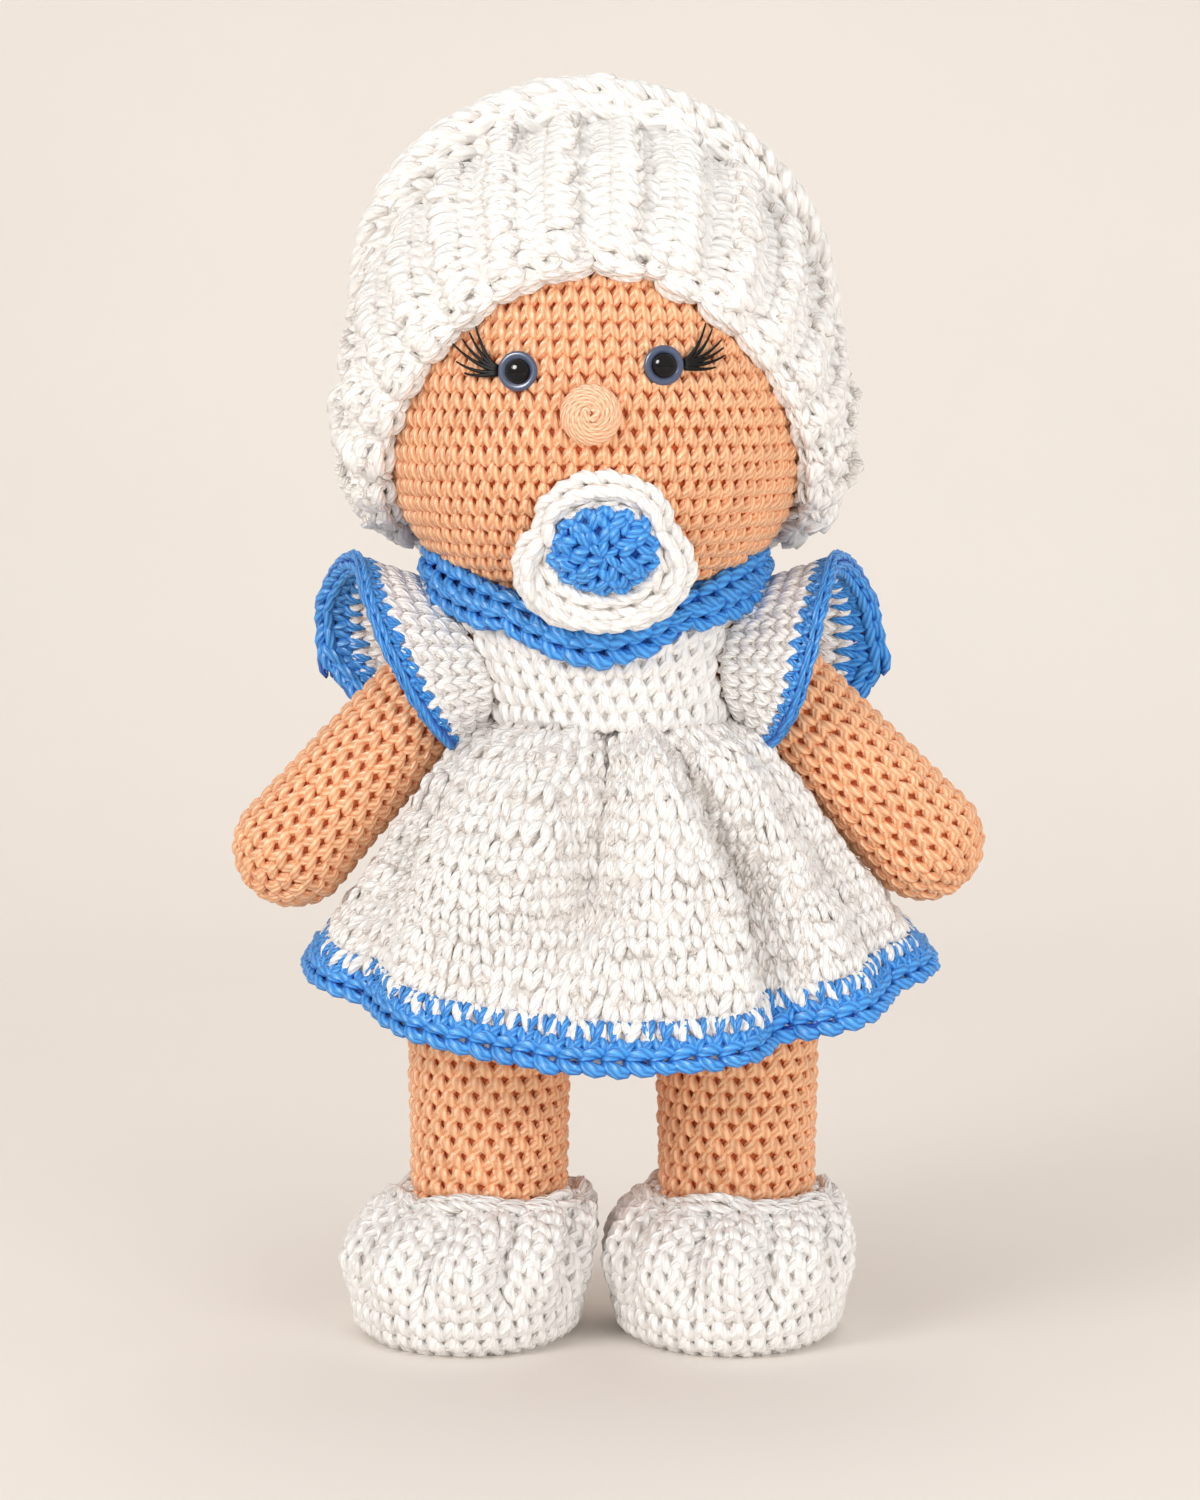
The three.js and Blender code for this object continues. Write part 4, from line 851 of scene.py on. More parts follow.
def twisted_group():
    """Colour and height of a plied cotton strand along its own coordinates. Its colour holds painted shade: the shade
    colour toward the low, sunk ends of each strand and in the grooves between its plies, the full colour on the crowns
    of the plies.
    """
    tree = bpy.data.node_groups.get("Plied cotton")
    if tree:
        return tree
    tree = bpy.data.node_groups.new("Plied cotton", "ShaderNodeTree")
    for label, kind, way in (
        ("Colour", "Color", "INPUT"), ("Shade", "Color", "INPUT"), ("Plies", "Float", "INPUT"),
        ("Ply length", "Float", "INPUT"), ("Ply depth", "Float", "INPUT"), ("Tone spread", "Float", "INPUT"),
        ("Color", "Color", "OUTPUT"), ("Height", "Float", "OUTPUT"), ("Roughness", "Float", "OUTPUT"),
    ):
        tree.interface.new_socket(label, in_out=way, socket_type="NodeSocket" + kind)
    given = node(tree, "NodeGroupInput").outputs

    def number(operation, a, b=None, clamp=False):
        inputs = {0: a} if b is None else {0: a, 1: b}
        return node(tree, "ShaderNodeMath", inputs, operation=operation, use_clamp=clamp).outputs[0]

    def off_middle(value, share):
        """How far a value is from a half, times a share."""
        return number("MULTIPLY", number("SUBTRACT", value, 0.5), share)

    parts = node(tree, "ShaderNodeSeparateXYZ", {0: node(tree, "ShaderNodeUVMap", uv_map="yarn").outputs[0]}).outputs
    place = node(tree, "ShaderNodeTexCoord").outputs["Object"]
    fibres, broad = (
        node(tree, "ShaderNodeTexNoise", {"Scale": scale, "Detail": 2, "Vector": place}).outputs["Fac"]
        for scale in (1500, 45))
    tone, rise = (
        node(tree, "ShaderNodeAttribute", attribute_name=label).outputs["Fac"] for label in ("tone", "rise"))
    run = number("DIVIDE", parts["Y"], given["Ply length"])
    phase = number("MULTIPLY", number("ADD", parts["X"], run), given["Plies"])
    wave = number("ABSOLUTE", number("SINE", number("MULTIPLY", phase, math.pi)))
    ply = number("POWER", wave, 1.5)
    # Painted shade: the colour goes toward the shade colour where a strand sinks low in its stitch and in the grooves
    # between the plies, and the crowns of the plies keep the full colour.
    lift = number("DIVIDE", number("SUBTRACT", rise, 0.25), 0.5, clamp=True)
    groove_shade = number("MULTIPLY", number("SUBTRACT", 1.0, ply), given["Ply depth"])
    light = number("MULTIPLY", lift, number("SUBTRACT", 1.0, groove_shade))
    light = number("ADD", light, off_middle(fibres, 0.3), clamp=True)
    mix = node(tree, "ShaderNodeMix", {"Factor": light}, data_type="RGBA")
    tree.links.new(given["Shade"], mix.inputs["A"])
    tree.links.new(given["Colour"], mix.inputs["B"])
    shift = number("ADD", off_middle(tone, given["Tone spread"]), off_middle(broad, 0.12))
    toned = node(tree, "ShaderNodeVectorMath", {0: mix.outputs["Result"], "Scale": number("ADD", shift, 1.0)},
                 operation="SCALE")
    node(tree, "NodeGroupOutput", {
        "Color": toned.outputs[0],
        "Height": number("ADD", ply, number("MULTIPLY", fibres, 0.35)),
        "Roughness": number("ADD", number("MULTIPLY", fibres, 0.25), 0.32),
    })
    return tree


def principled(name, **plain):
    """A material and, when it is new, its shader with plain values set."""
    material = bpy.data.materials.get(name)
    if material:
        if "doll" not in material:
            raise RuntimeError(name + " is a material of the packed model")
        return material, None
    material = bpy.data.materials.new(name)
    material["doll"] = True
    material.use_nodes = True
    shader = material.node_tree.nodes["Principled BSDF"]
    for key, value in plain.items():
        shader.inputs[key.replace("_", " ")].default_value = value
    return material, shader


def bumped(tree, shader, height, strength, distance):
    bump = node(tree, "ShaderNodeBump", {"Height": height, "Strength": strength, "Distance": distance})
    tree.links.new(bump.outputs["Normal"], shader.inputs["Normal"])


def yarn(name, colour, shade, plies=6.0, ply_length=17.0, ply_depth=0.6, spread=0.12):
    """Mercerised cotton yarn: plied, slightly glossy, softly fuzzy at grazing angles, its colour darkened by painted
    shade between the strands and in the ply grooves.
    """
    material, shader = principled(name, Sheen_Weight=0.06, Sheen_Roughness=0.4, Specular_IOR_Level=0.55)
    if shader:
        tree = material.node_tree
        twisted = node(tree, "ShaderNodeGroup", node_tree=twisted_group())
        for label, value in (("Colour", linear(colour)), ("Shade", linear(shade)), ("Plies", plies),
                             ("Ply length", ply_length), ("Ply depth", ply_depth), ("Tone spread", spread)):
            twisted.inputs[label].default_value = value
        tree.links.new(twisted.outputs["Color"], shader.inputs["Base Color"])
        tree.links.new(twisted.outputs["Roughness"], shader.inputs["Roughness"])
        bumped(tree, shader, twisted.outputs["Height"], 0.7, 0.0005)
    return material


def grained(name, colour, shade, scale, strength=0.3, distance=0.0004, rough=0.7, contrast=0.6, **plain):
    """Plain stuff with a fine grain on object coordinates: ground cloth in painted shade, fibrefill, moulded plastic.
    """
    material, shader = principled(name, Roughness=rough, **plain)
    if shader:
        tree = material.node_tree
        place = node(tree, "ShaderNodeTexCoord").outputs["Object"]
        grain = node(tree, "ShaderNodeTexNoise", {"Scale": scale, "Detail": 4, "Vector": place}).outputs["Fac"]
        ramp = node(tree, "ShaderNodeValToRGB", {"Fac": grain})
        for stop, way, tint in zip(ramp.color_ramp.elements, (-1, 1), (shade, colour)):
            stop.position, stop.color = 0.5 + way * contrast / 2, linear(tint)
        tree.links.new(ramp.outputs["Color"], shader.inputs["Base Color"])
        bumped(tree, shader, grain, strength, distance)
    return material


def shaded(colour, share):
    return [c * share for c in colour]


def colours():
    return bpy.context.scene.doll_colours


def stitch_sizes():
    return bpy.context.scene.doll_stitches


def cell_of(kind):
    """Width and height in millimetres of one kind of stitch."""
    sizes = stitch_sizes()
    return getattr(sizes, kind + "_width") / MM, getattr(sizes, kind + "_height") / MM


def backdrop_paper():
    """Pale paper that only its front shows, so a camera behind it still sees the doll."""
    tint = colours().backdrop
    paper = grained("paper_backdrop", tint, shaded(tint, 0.985), 3, strength=0.02, rough=0.9, Specular_IOR_Level=0.1)
    tree = paper.node_tree
    mix = node(tree, "ShaderNodeMixShader", {
        0: node(tree, "ShaderNodeNewGeometry").outputs["Backfacing"],
        1: tree.nodes["Principled BSDF"].outputs[0],
        2: node(tree, "ShaderNodeBsdfTransparent").outputs[0],
    })
    tree.links.new(mix.outputs[0], tree.nodes["Material Output"].inputs["Surface"])
    return paper


# How each yarn is plied and how much painted shade its ply grooves take, where it isn't as usual
YARNS = {
    "skin": {}, "white": {"ply_depth": 0.34, "spread": 0.05}, "blue": {},
    "nose": {"plies": 3.0, "ply_length": 9.0, "ply_depth": 0.4},
}


def cotton(colour):
    shade = "skin" if colour == "nose" else colour
    return yarn(colour + "_cotton", getattr(colours(), colour), getattr(colours(), shade + "_shade"), **YARNS[colour])


def ground(colour):
    """Cloth behind the stitches, seen only in the gaps between them. Its colour is painted shade: the yarn's shade
    colour darkened further.
    """
    shade = getattr(colours(), colour + "_shade")
    light, dark = (0.97, 0.88) if colour == "white" else (0.92, 0.76)
    return grained(colour + "_ground", shaded(shade, light), shaded(shade, dark), 700, contrast=0.4, rough=0.85)


# Colour, colour in the grain, scale of the grain and the rest of each plain stuff
STUFFS = {
    "loose_fibre": ((0.96, 0.96, 0.95), (0.86, 0.86, 0.85), 260, {"strength": 0.8, "distance": 0.002, "rough": 0.95}),
    "eye_ring_plastic": ((0.30, 0.35, 0.46), (0.24, 0.29, 0.4), 900, {
        "strength": 0.05, "rough": 0.32, "Coat_Weight": 0.3, "Coat_Roughness": 0.2}),
    "eye_dome_plastic": ((0.01, 0.01, 0.012), (0.005, 0.005, 0.007), 300, {
        "strength": 0.0, "rough": 0.05, "Specular_IOR_Level": 0.3}),
    "washer_nylon": ((0.9, 0.9, 0.89), (0.84, 0.84, 0.83), 500, {"strength": 0.1, "rough": 0.4}),
    "insole_sheet": ((0.87, 0.85, 0.82), (0.8, 0.78, 0.75), 300, {"strength": 0.1, "rough": 0.5}),
    "lash_fibre": ((0.03, 0.028, 0.028), (0.015, 0.015, 0.015), 2500, {
        "strength": 0.4, "rough": 0.55, "Specular_IOR_Level": 0.25}),
}


def stuff(name):
    colour, shade, scale, rest = STUFFS[name]
    return grained(name, colour, shade, scale, **rest)


def set_material(obj, material):
    obj.data.materials.clear()
    obj.data.materials.append(material)


# ---------------------------------------------------------------- pieces

def finished(obj, body, material=None, replaces=()):
    """Rides a piece on its body and what it stands for."""
    if material is not None:
        set_material(obj, material)
    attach(obj, body)
    if replaces:
        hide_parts(*replaces)
    return obj


def dressed(obj, body, colour, stands_for):
    """Rides the cloth of one piece, which its stitches lie on."""
    # The cloth is coloured in painted shade, the darkened shade colour of its yarn.
    finished(obj, body, ground(colour), [stands_for])
    return obj


def filling(name, place, levels, columns, seed, lift, body, stands_for, lumps=0.8):
    """Lumpy filling inside a skin, closed at both ends."""
    turn = np.linspace(0, TURN, columns, endpoint=False)
    phase = np.random.default_rng(seed).uniform(0, TURN, 8)
    rings = []
    for level in levels:
        wobble = sum(np.sin(turn * (k + 2) + phase[k] + level * 0.07 * (k + 1)) / (k + 1.5) for k in range(6))
        rings.append(place(turn, level, lift - lumps * (1 - 0.4 * wobble)))
    obj = finished(loft(name, rings, ends(rings)), body, stuff("loose_fibre"), [stands_for])


def eye_centre(side):
    return FACE_SHIFT + side * EYE_X, EYE_Z + side * 0.9


def shown_face(place, level):
    """True where a stitch of the head isn't under the bonnet, an eye or the nose."""
    way = unit(place - HEAD_MIDDLE)
    turn, away = np.arctan2(way @ BONNET_SIDE, way @ BONNET_FORE), np.arccos(np.clip(way @ BONNET_BACK, -1, 1))
    keep = away > edge_angle(turn) - 0.1
    for x, z, radius in ((*eye_centre(1), 5.3), (*eye_centre(-1), 5.3), (FACE_SHIFT, NOSE_RISE, 6.5)):
        near = np.hypot(place[:, 0] - HEAD_LEAN - x, place[:, 2] - HEAD_LEVEL - z) < radius
        keep &= ~(near & (place[:, 1] < 0))
    return keep


def clear_of_armhole(place, level):
    return np.hypot(place[:, 1], place[:, 2] - SHOULDER_HEIGHT) > ARMHOLE_ROOM


# Root, bend and tip of each lash from the eye's middle, x away from the nose, on the left (1) and the right (-1)
LASHES = {
    -1: [((6.2, 0.8), (9.5, 3.5), (13.0, 14.3)), ((6.2, 0.4), (12.0, 2.6), (16.8, 9.4)),
         ((6.2, 0.0), (12.5, 1.2), (20.0, 8.2)), ((6.2, -0.4), (12.0, -1.4), (18.6, 2.6)),
         ((6.2, -0.8), (11.0, -2.4), (16.2, -0.8)), ((6.3, 0.6), (10.5, 3.4), (14.6, 11.4))],
    1: [((6.2, 1.0), (9.8, 3.6), (12.6, 12.4)), ((6.2, 0.6), (11.0, 2.6), (14.6, 10.6)),
        ((6.2, 0.2), (12.0, 1.6), (17.4, 7.4)), ((6.2, -0.2), (12.5, -0.8), (18.6, 2.8)),
        ((6.2, -0.8), (11.5, -2.2), (15.6, -0.8)), ((6.2, 0.0), (12.0, 0.6), (18.0, 5.0))],
}
# Radius and height of the eye's slate rim with its stem, and of its black dome
EYE_RING = [
    (0, -14), (1.7, -14), (2.1, -13.4), (2.1, 0), (5.6, 0), (6.1, 0.35), (6.2, 0.9), (6.05, 1.35), (5.6, 1.65),
    (5.0, 1.7), (4.4, 1.5), (4.1, 1.3), (3.4, 1.25), (0, 1.25),
]
EYE_DOME = [
    (0, 1.0), *[(3.95 * math.cos(a), 1.25 + 2.5 * math.sin(a)) for a in np.linspace(0, 1.5, 12)], (0, 3.75)]
NOSE_PROFILE = smooth_through([
    [0, 9], [2.2, 8.8], [4.3, 8.2], [6.1, 7.2], [7.5, 5.8], [8.3, 4.3], [8.6, 2.5], [8.3, 0.8], [7.4, -0.4],
], 200)
NOSE_TURNS, NOSE_PITCH = 9.4, 1.68
KNOT = smooth_through([[0.1, -1.7], [1.3, -0.3], [2.1, 1.0], [1.3, 1.9], [0.25, 1.1]], 10)

# Place, width, share of the key lamp's power and tint
LAMPS = {
    "key": ((-1.25, -1.35, 1.12), 0.9, 1.0, (1.0, 0.985, 0.965)),
    "catch": ((-0.9, -1.4, 1.0), 0.75, 2.6, (1.0, 0.99, 0.98)),
    "fill": ((0.95, -1.45, 0.36), 1.2, 0.85, (0.98, 0.99, 1.0)),
    "back": ((0.2, 1.1, 1.4), 0.9, 0.2, (1.0, 0.99, 0.98)),
}


# ---------------------------------------------------------------- operators

class DOLL_OT_stage(bpy.types.Operator):
    """Floor and backdrop in one sweep, soft lamps and the camera"""

    bl_idname = "doll.stage"
    bl_label = "Stage"

    def execute(self, context):
        sweep = [(-4.0, 0.0), (0.75, 0.0), *[
            (0.75 + 0.6 * math.sin(a), 0.6 - 0.6 * math.cos(a)) for a in np.linspace(0.1, QUARTER, 14)], (1.35, 2.6)]
        points = np.array([(x, y, z) for y, z in sweep for x in (-4.0, 4.0)]) / MM
        faces = [(2 * k, 2 * k + 1, 2 * k + 3, 2 * k + 2) for k in range(len(sweep) - 1)]
        floor = linked("backdrop", smooth_mesh("backdrop", points, faces))
        set_material(floor, backdrop_paper())
        self.light(context.scene)
        view = bpy.data.cameras.new("camera")
        view.sensor_fit, view.sensor_height, view.lens, view.shift_y = "VERTICAL", 36, 96.18, -0.0523
        camera = linked("camera", view)
        camera.location = (-0.0036, -1.298, 0.3295)
        camera.rotation_euler = (math.radians(85), 0, 0)
        context.scene.camera = camera
        context.scene.view_settings.view_transform = "Standard"
        return {"FINISHED"}

    def light(self, scene):
        """Light all round, seen as the backdrop's colour, and the lamps, aimed at the doll."""
        world = bpy.data.worlds.new("studio")
        world.use_nodes = True
        tree = world.node_tree
        room = tree.nodes["Background"]
        room.inputs["Color"].default_value = (1.0, 0.985, 0.965, 1)
        room.inputs["Strength"].default_value = colours().room_level
        shown = node(tree, "ShaderNodeBackground", {"Color": linear(colours().backdrop)})
        ray = node(tree, "ShaderNodeLightPath").outputs
        either = ray["Is Camera Ray"]
        for other in ("Is Glossy Ray", "Is Transmission Ray"):
            either = node(tree, "ShaderNodeMath", {0: either, 1: ray[other]}, operation="MAXIMUM").outputs[0]
        mix = node(tree, "ShaderNodeMixShader", {0: either, 1: room.outputs[0], 2: shown.outputs[0]})
        tree.links.new(mix.outputs[0], tree.nodes["World Output"].inputs["Surface"])
        scene.world = world
        for name, (place, size, share, tint) in LAMPS.items():
            lamp = bpy.data.lights.new(name, "AREA")
            lamp.shape, lamp.size, lamp.energy, lamp.color = "DISK", size, colours().key_power * share, tint
            obj = linked(name, lamp)
            obj.visible_diffuse, obj.visible_glossy = name != "catch", name != "fill"
            obj.location = place
            x, y, z = np.array([0, 0, 0.2]) - np.array(place)
            obj.rotation_euler = (math.atan2(math.hypot(x, y), -z), 0, math.atan2(y, x) - QUARTER)


class DOLL_OT_head(bpy.types.Operator):
    """Stuffed head: skin of single crochet in rounds, and its filling"""

    bl_idname = "doll.head"
    bl_label = "Head"

    def execute(self, context):
        hole = -math.acos(NECK_HOLE / HEAD_HALF_WIDTH)
        levels = np.linspace(QUARTER - 0.03, hole, 60)
        rings = rings_at(head_place, 96, levels, GROUND) + rings_at(head_place, 96, levels[::-1], -3.0)
        dressed(loft("head_skin_cloth", rings, lids=True), "head", "skin", "head_skin")
        cell = cell_of("face")
        rows = even_rows(head_place, hole + 0.02, QUARTER - 0.12, cell[1])
        laid = lay(head_place, rows, cell, -0.2, 0.42, keep=shown_face, thick=1.14)
        work("head_skin_stitches", laid, cell, SINGLE, "skin", "head", turn=0.1, size=0.09)
        floor = math.asin((NECK_TOP - HEAD_LEVEL + 0.35) / (HEAD_DROP + DEEP_FILLING))
        levels = np.linspace(floor, QUARTER - 0.05, 40)
        filling("head_filling", head_place, levels, 64, 5, DEEP_FILLING, "head", "head_stuffing")
        return {"FINISHED"}


class DOLL_OT_face(bpy.types.Operator):
    """Safety eyes with their washers, lashes and the wound nose"""

    bl_idname = "doll.face"
    bl_label = "Eyes, lashes and nose"

    def execute(self, context):
        for side, name in SIDES:
            x, z = eye_centre(side)
            middle = face_place(x, z, 1.0)
            way = np.array([math.sin(side * 0.2), -math.cos(0.2), 0.0])
            ring = lathe(name + "_eye_ring", middle, way, EYE_RING, 48)
            finished(ring, "head", stuff("eye_ring_plastic"), [name + "_eye"])
            dome = lathe(name + "_eye_dome", middle, way, EYE_DOME, 48)
            finished(dome, "head", stuff("eye_dome_plastic"))
            set_material(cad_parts[name + "_eye_washer"], stuff("washer_nylon"))
            lashes = threads(name + "_eye_lashes", [self.lash(side, x, z, *lash) for lash in LASHES[side]])
            finished(lashes, "head", stuff("lash_fibre"), [name + "_lashes"])
        self.nose()
        return {"FINISHED"}

    def lash(self, side, x, z, root, bend, tip):
        """Points of one lash, a bow laid on the face, with its radius."""
        rows = []
        for share in np.linspace(0, 1, 10):
            a, b, c = (1 - share) ** 2, 2 * share * (1 - share), share ** 2
            across, up = (a * root[k] + b * bend[k] + c * tip[k] for k in (0, 1))
            lift = 1.6 + 0.8 * math.sin(share * math.pi) + 0.3 * share
            rows.append([*face_place(x + side * across, z + up, lift), mixed(0.95, 0.26, share ** 0.8)])
        return rows

    def nose(self):
        middle = face_place(FACE_SHIFT, NOSE_RISE)
        pad = [(0, -0.5), *[(max(r - 0.75, 0.3), h - 0.75) for r, h in NOSE_PROFILE[::-12]], (0, 8.2)]
        body = lathe("nose_filling", middle, (0, -1, 0), pad, 32)
        # The pad between the turns of thread runs in a grain from the nose yarn's colour to the skin's painted shade
        # colour.
        stuffing = grained("nose_ground", colours().nose, colours().skin_shade, 600)
        finished(body, "head", stuffing, ["nose"])
        at = np.linspace(0.25, NOSE_TURNS, int(NOSE_TURNS * 30))
        share = np.clip(at * NOSE_PITCH / run_of(NOSE_PROFILE)[-1], 0, 1)
        x, y, z = middle
        thread = [
            [x + (r + 0.02) * math.cos(t * TURN), y - h + 0.55, z + r * math.sin(t * TURN), 0.92]
            for r, h, t in zip(*profile_at(NOSE_PROFILE, share), at)]
        knot = [[[x + way * across, y - 9.3, z + up, 0.95] for across, up in KNOT] for way in (-1, 1)]
        finished(threads("nose_thread", [thread, *knot]), "head", cotton("nose"))


class DOLL_OT_pacifier(bpy.types.Operator):
    """Crocheted pacifier: white shield with an edge of chain stitches, blue button"""

    bl_idname = "doll.pacifier"
    bl_label = "Pacifier"

    def execute(self, context):
        rings = rings_at(shield_place, 72, (0.1, 0.4, 0.7, 0.9, 0.94, 0.97, 1.0), -0.5)
        rings += rings_at(lambda turn, deep, lift: on_mouth(
            turn, shield_reach(turn) - 3.5, shield_reach(turn) - 3.5, deep), 72, [-0.4])
        dressed(loft("pacifier_shield_cloth", rings, ends(rings)), "head", "white", "pacifier_shield")
        link, middle = cell_of("link"), cell_of("button")
        inner = lay(shield_place, [0.45, 0.64, 0.83], link, 0.7, along=True, thick=1.15)
        work("pacifier_shield_stitches", inner, link, CHAIN, "white", "head", 3, turn=0.15)
        edge = lay(shield_place, [0.84, 1.06], link, 0.9, along=True, thick=1.12)
        work("pacifier_shield_edge", edge, link, CHAIN, "white", "head", 4, turn=0.12)

        rings = rings_at(button_place, 72, np.linspace(0.12, 1, 9), -1.3)
        rings += rings_at(lambda turn, deep, lift: on_mouth(turn, 14.6, 12, deep), 72, [-4.4])
        dressed(loft("pacifier_button_cloth", rings, ends(rings)), "head", "blue", "pacifier_button")
        laid = lay(button_place, [0.0, 0.17, 0.4, 0.66, 0.97], middle, lean=0.5, thick=1.14)
        work("pacifier_button_stitches", laid, middle, SINGLE, "blue", "head", 5, turn=0.22, size=0.12)
        return {"FINISHED"}


class DOLL_OT_bonnet(bpy.types.Operator):
    """Bonnet: ribbed brim with a scalloped edge, and a puffed crown with a rolled lip"""

    bl_idname = "doll.bonnet"
    bl_label = "Bonnet"

    def execute(self, context):
        rings = rings_at(brim_place, RIBS * 9, np.linspace(0, 1, 12), -1.3)
        rings += rings_at(brim_lining, RIBS * 9, np.linspace(1, 0, 8), 0.2)
        brim = dressed(loft("bonnet_brim_cloth", rings), "head", "white", "bonnet_brim")
        rib, loop, cloth = cell_of("rib"), cell_of("loop"), cell_of("cloth")
        ribs = lay(swapped(brim_place), np.linspace(0, TURN, RIBS * 2 + 1), rib, end=1.0, along=True, thick=1.3)
        stitches = work("bonnet_brim_stitches", ribs, rib, RIB, "white", "head", 6, turn=0.2, size=0.13)
        edge = lay(brim_edge_place, [-0.35, 0.3, 0.95], loop, 0.3, 0.5, along=True)
        rim = work("bonnet_brim_edge", edge, loop, CHAIN, "white", "head", 7, turn=0.12, size=0.1)

        rings = rings_at(crown_place, 108, [*np.linspace(0.04, 1, 26), *np.linspace(1.1, 2, 9)], GROUND)
        rings += rings_at(crown_lining, 108, np.linspace(1, 0.04, 20))
        crown = dressed(loft("bonnet_crown_cloth", rings, ends(rings)), "head", "white", "bonnet_crown")
        laid = lay(crown_place, even_rows(crown_place, 0.03, 1.0, cloth[1], at=0), cloth, lean=0.2)
        stitches = work("bonnet_crown_stitches", laid, cloth, SINGLE, "white", "head", 8, turn=0.1, size=0.1)
        rows = even_rows(crown_place, 0.97, 2.0, 5.4, at=0)
        rolled = lay(crown_place, rows, loop, lean=0.4, along=True, tilt=0.45, thick=1.42)
        roll = work("bonnet_crown_roll", rolled, loop, SINGLE, "white", "head", 9, turn=0.2, size=0.12)
        return {"FINISHED"}


class DOLL_OT_body(bpy.types.Operator):
    """Torso with its neck, and the filling of torso, arms and legs"""

    bl_idname = "doll.body"
    bl_label = "Torso and filling"

    def execute(self, context):
        heights = [HIP_HEIGHT, 103.5, 106, *np.linspace(110, 232, 34), 235, NECK_TOP]
        poles = ((0, 0, HIP_HEIGHT), (HEAD_LEAN, 0, NECK_TOP))
        torso = loft("torso_skin_cloth", rings_at(torso_place, 72, heights, GROUND), poles)
        dressed(torso, "trunk", "skin", "torso_skin")
        cell = cell_of("limb")
        laid = joined(
            lay(torso_place, np.arange(102.6, 141, cell[1]), cell, lean=0.3),
            lay(torso_place, np.arange(225, 238.5, 4.4), cell, lean=0.3),
            lay(underside_place, [0.12, 0.28, 0.44, 0.6, 0.76, 0.92, 1.02], cell, -0.4, 0.3))
        work("torso_skin_stitches", laid, cell, SINGLE, "skin", "trunk", 11)
        levels = np.linspace(105.5, 237.3, 46)
        filling("torso_filling", torso_place, levels, 56, 3, DEEP_FILLING, "trunk", "torso_stuffing")
        for side, name in SIDES:
            for limb, place, levels, columns, seed, body in (
                ("_arm", arm_place(side), np.linspace(0.02, 0.985, 34), 36, 7, name + "_arm"),
                ("_leg", leg_place(side), np.linspace(9.4, 101.5, 34), 40, 9, "trunk"),
            ):
                limb = name + limb
                filling(limb + "_filling", place, levels, columns, seed + side, LIMB_FILLING, body,
                        limb + "_stuffing", lumps=0.4)
            set_material(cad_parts[name + "_insole"], stuff("insole_sheet"))
        return {"FINISHED"}


class DOLL_OT_arms(bpy.types.Operator):
    """Stuffed arms, worked in rounds from the hand to the shoulder"""

    bl_idname = "doll.arms"
    bl_label = "Arms"

    def execute(self, context):
        cell = cell_of("arm")
        for side, name in SIDES:
            arm, place = name + "_arm", arm_place(side)
            rings = rings_at(place, 48, np.linspace(0, 0.985, 44), GROUND)
            skin = loft(arm + "_skin_cloth", rings, (rings[0].mean(axis=0), place(0.0, 1.0, GROUND)))
            dressed(skin, arm, "skin", arm + "_skin")
            laid = lay(place, even_rows(place, 0.985, 0.02, cell[1]), cell, -0.2, 0.42, thick=1.17)
            work(arm + "_skin_stitches", laid, cell, SINGLE, "skin", arm, 13 + side)
        return {"FINISHED"}


class DOLL_OT_legs(bpy.types.Operator):
    """Stuffed legs, worked in rounds up from the sole"""

    bl_idname = "doll.legs"
    bl_label = "Legs"

    def execute(self, context):
        cell = cell_of("limb")
        for side, name in SIDES:
            leg, place = name + "_leg", leg_place(side)
            rings = rings_at(place, 56, [3.4, 4.5, 6.5, 9, *np.linspace(12, 101.6, 34)], GROUND)
            dressed(loft(leg + "_skin_cloth", rings, ends(rings)), "trunk", "skin", leg + "_skin")
            laid = lay(place, np.linspace(41.6, 101.8, 13), cell, -0.2, 0.42, thick=1.22)
            work(leg + "_skin_stitches", laid, cell, SINGLE, "skin", "trunk", 17 + side)
        return {"FINISHED"}


class DOLL_OT_booties(bpy.types.Operator):
    """Puffed booties with a frill round the ankle"""

    bl_idname = "doll.booties"
    bl_label = "Booties"

    def execute(self, context):
        cell, loop = cell_of("cloth"), cell_of("loop")
        for side, name in SIDES:
            bootie, place, cuff = name + "_bootie", bootie_place(side), cuff_place(side)
            rings = rings_at(place, 120, np.linspace(0, 1, 26), GROUND)
            rings[0][:, 2] = 0
            rings += rings_at(leg_place(side), 120, [44, 38, 32, 26, 20, 14, 9, 5, 3.2], 1.05)
            dressed(loft(bootie + "_cloth", rings, ends(rings)), "trunk", "white", bootie)
            laid = lay(place, even_rows(place, 0.0, 1.0, cell[1]), cell, -0.3, 0.42, thick=1.26)
            work(bootie + "_stitches", laid, cell, SINGLE, "white", "trunk", 21 + side, turn=0.1, size=0.09)
            frill = shell(bootie + "_cuff_cloth", cuff, np.linspace(0, 1, 6), -0.6, -2.0, 78)
            dressed(frill, "trunk", "white", bootie + "_cuff")
            laid = lay(cuff, [0.0, 0.5, 1.0], loop, 0.6, 0.5, along=True, thick=1.1)
            work(bootie + "_cuff_stitches", laid, loop, CHAIN, "white", "trunk", 24 + side, turn=0.25, size=0.14)
        return {"FINISHED"}


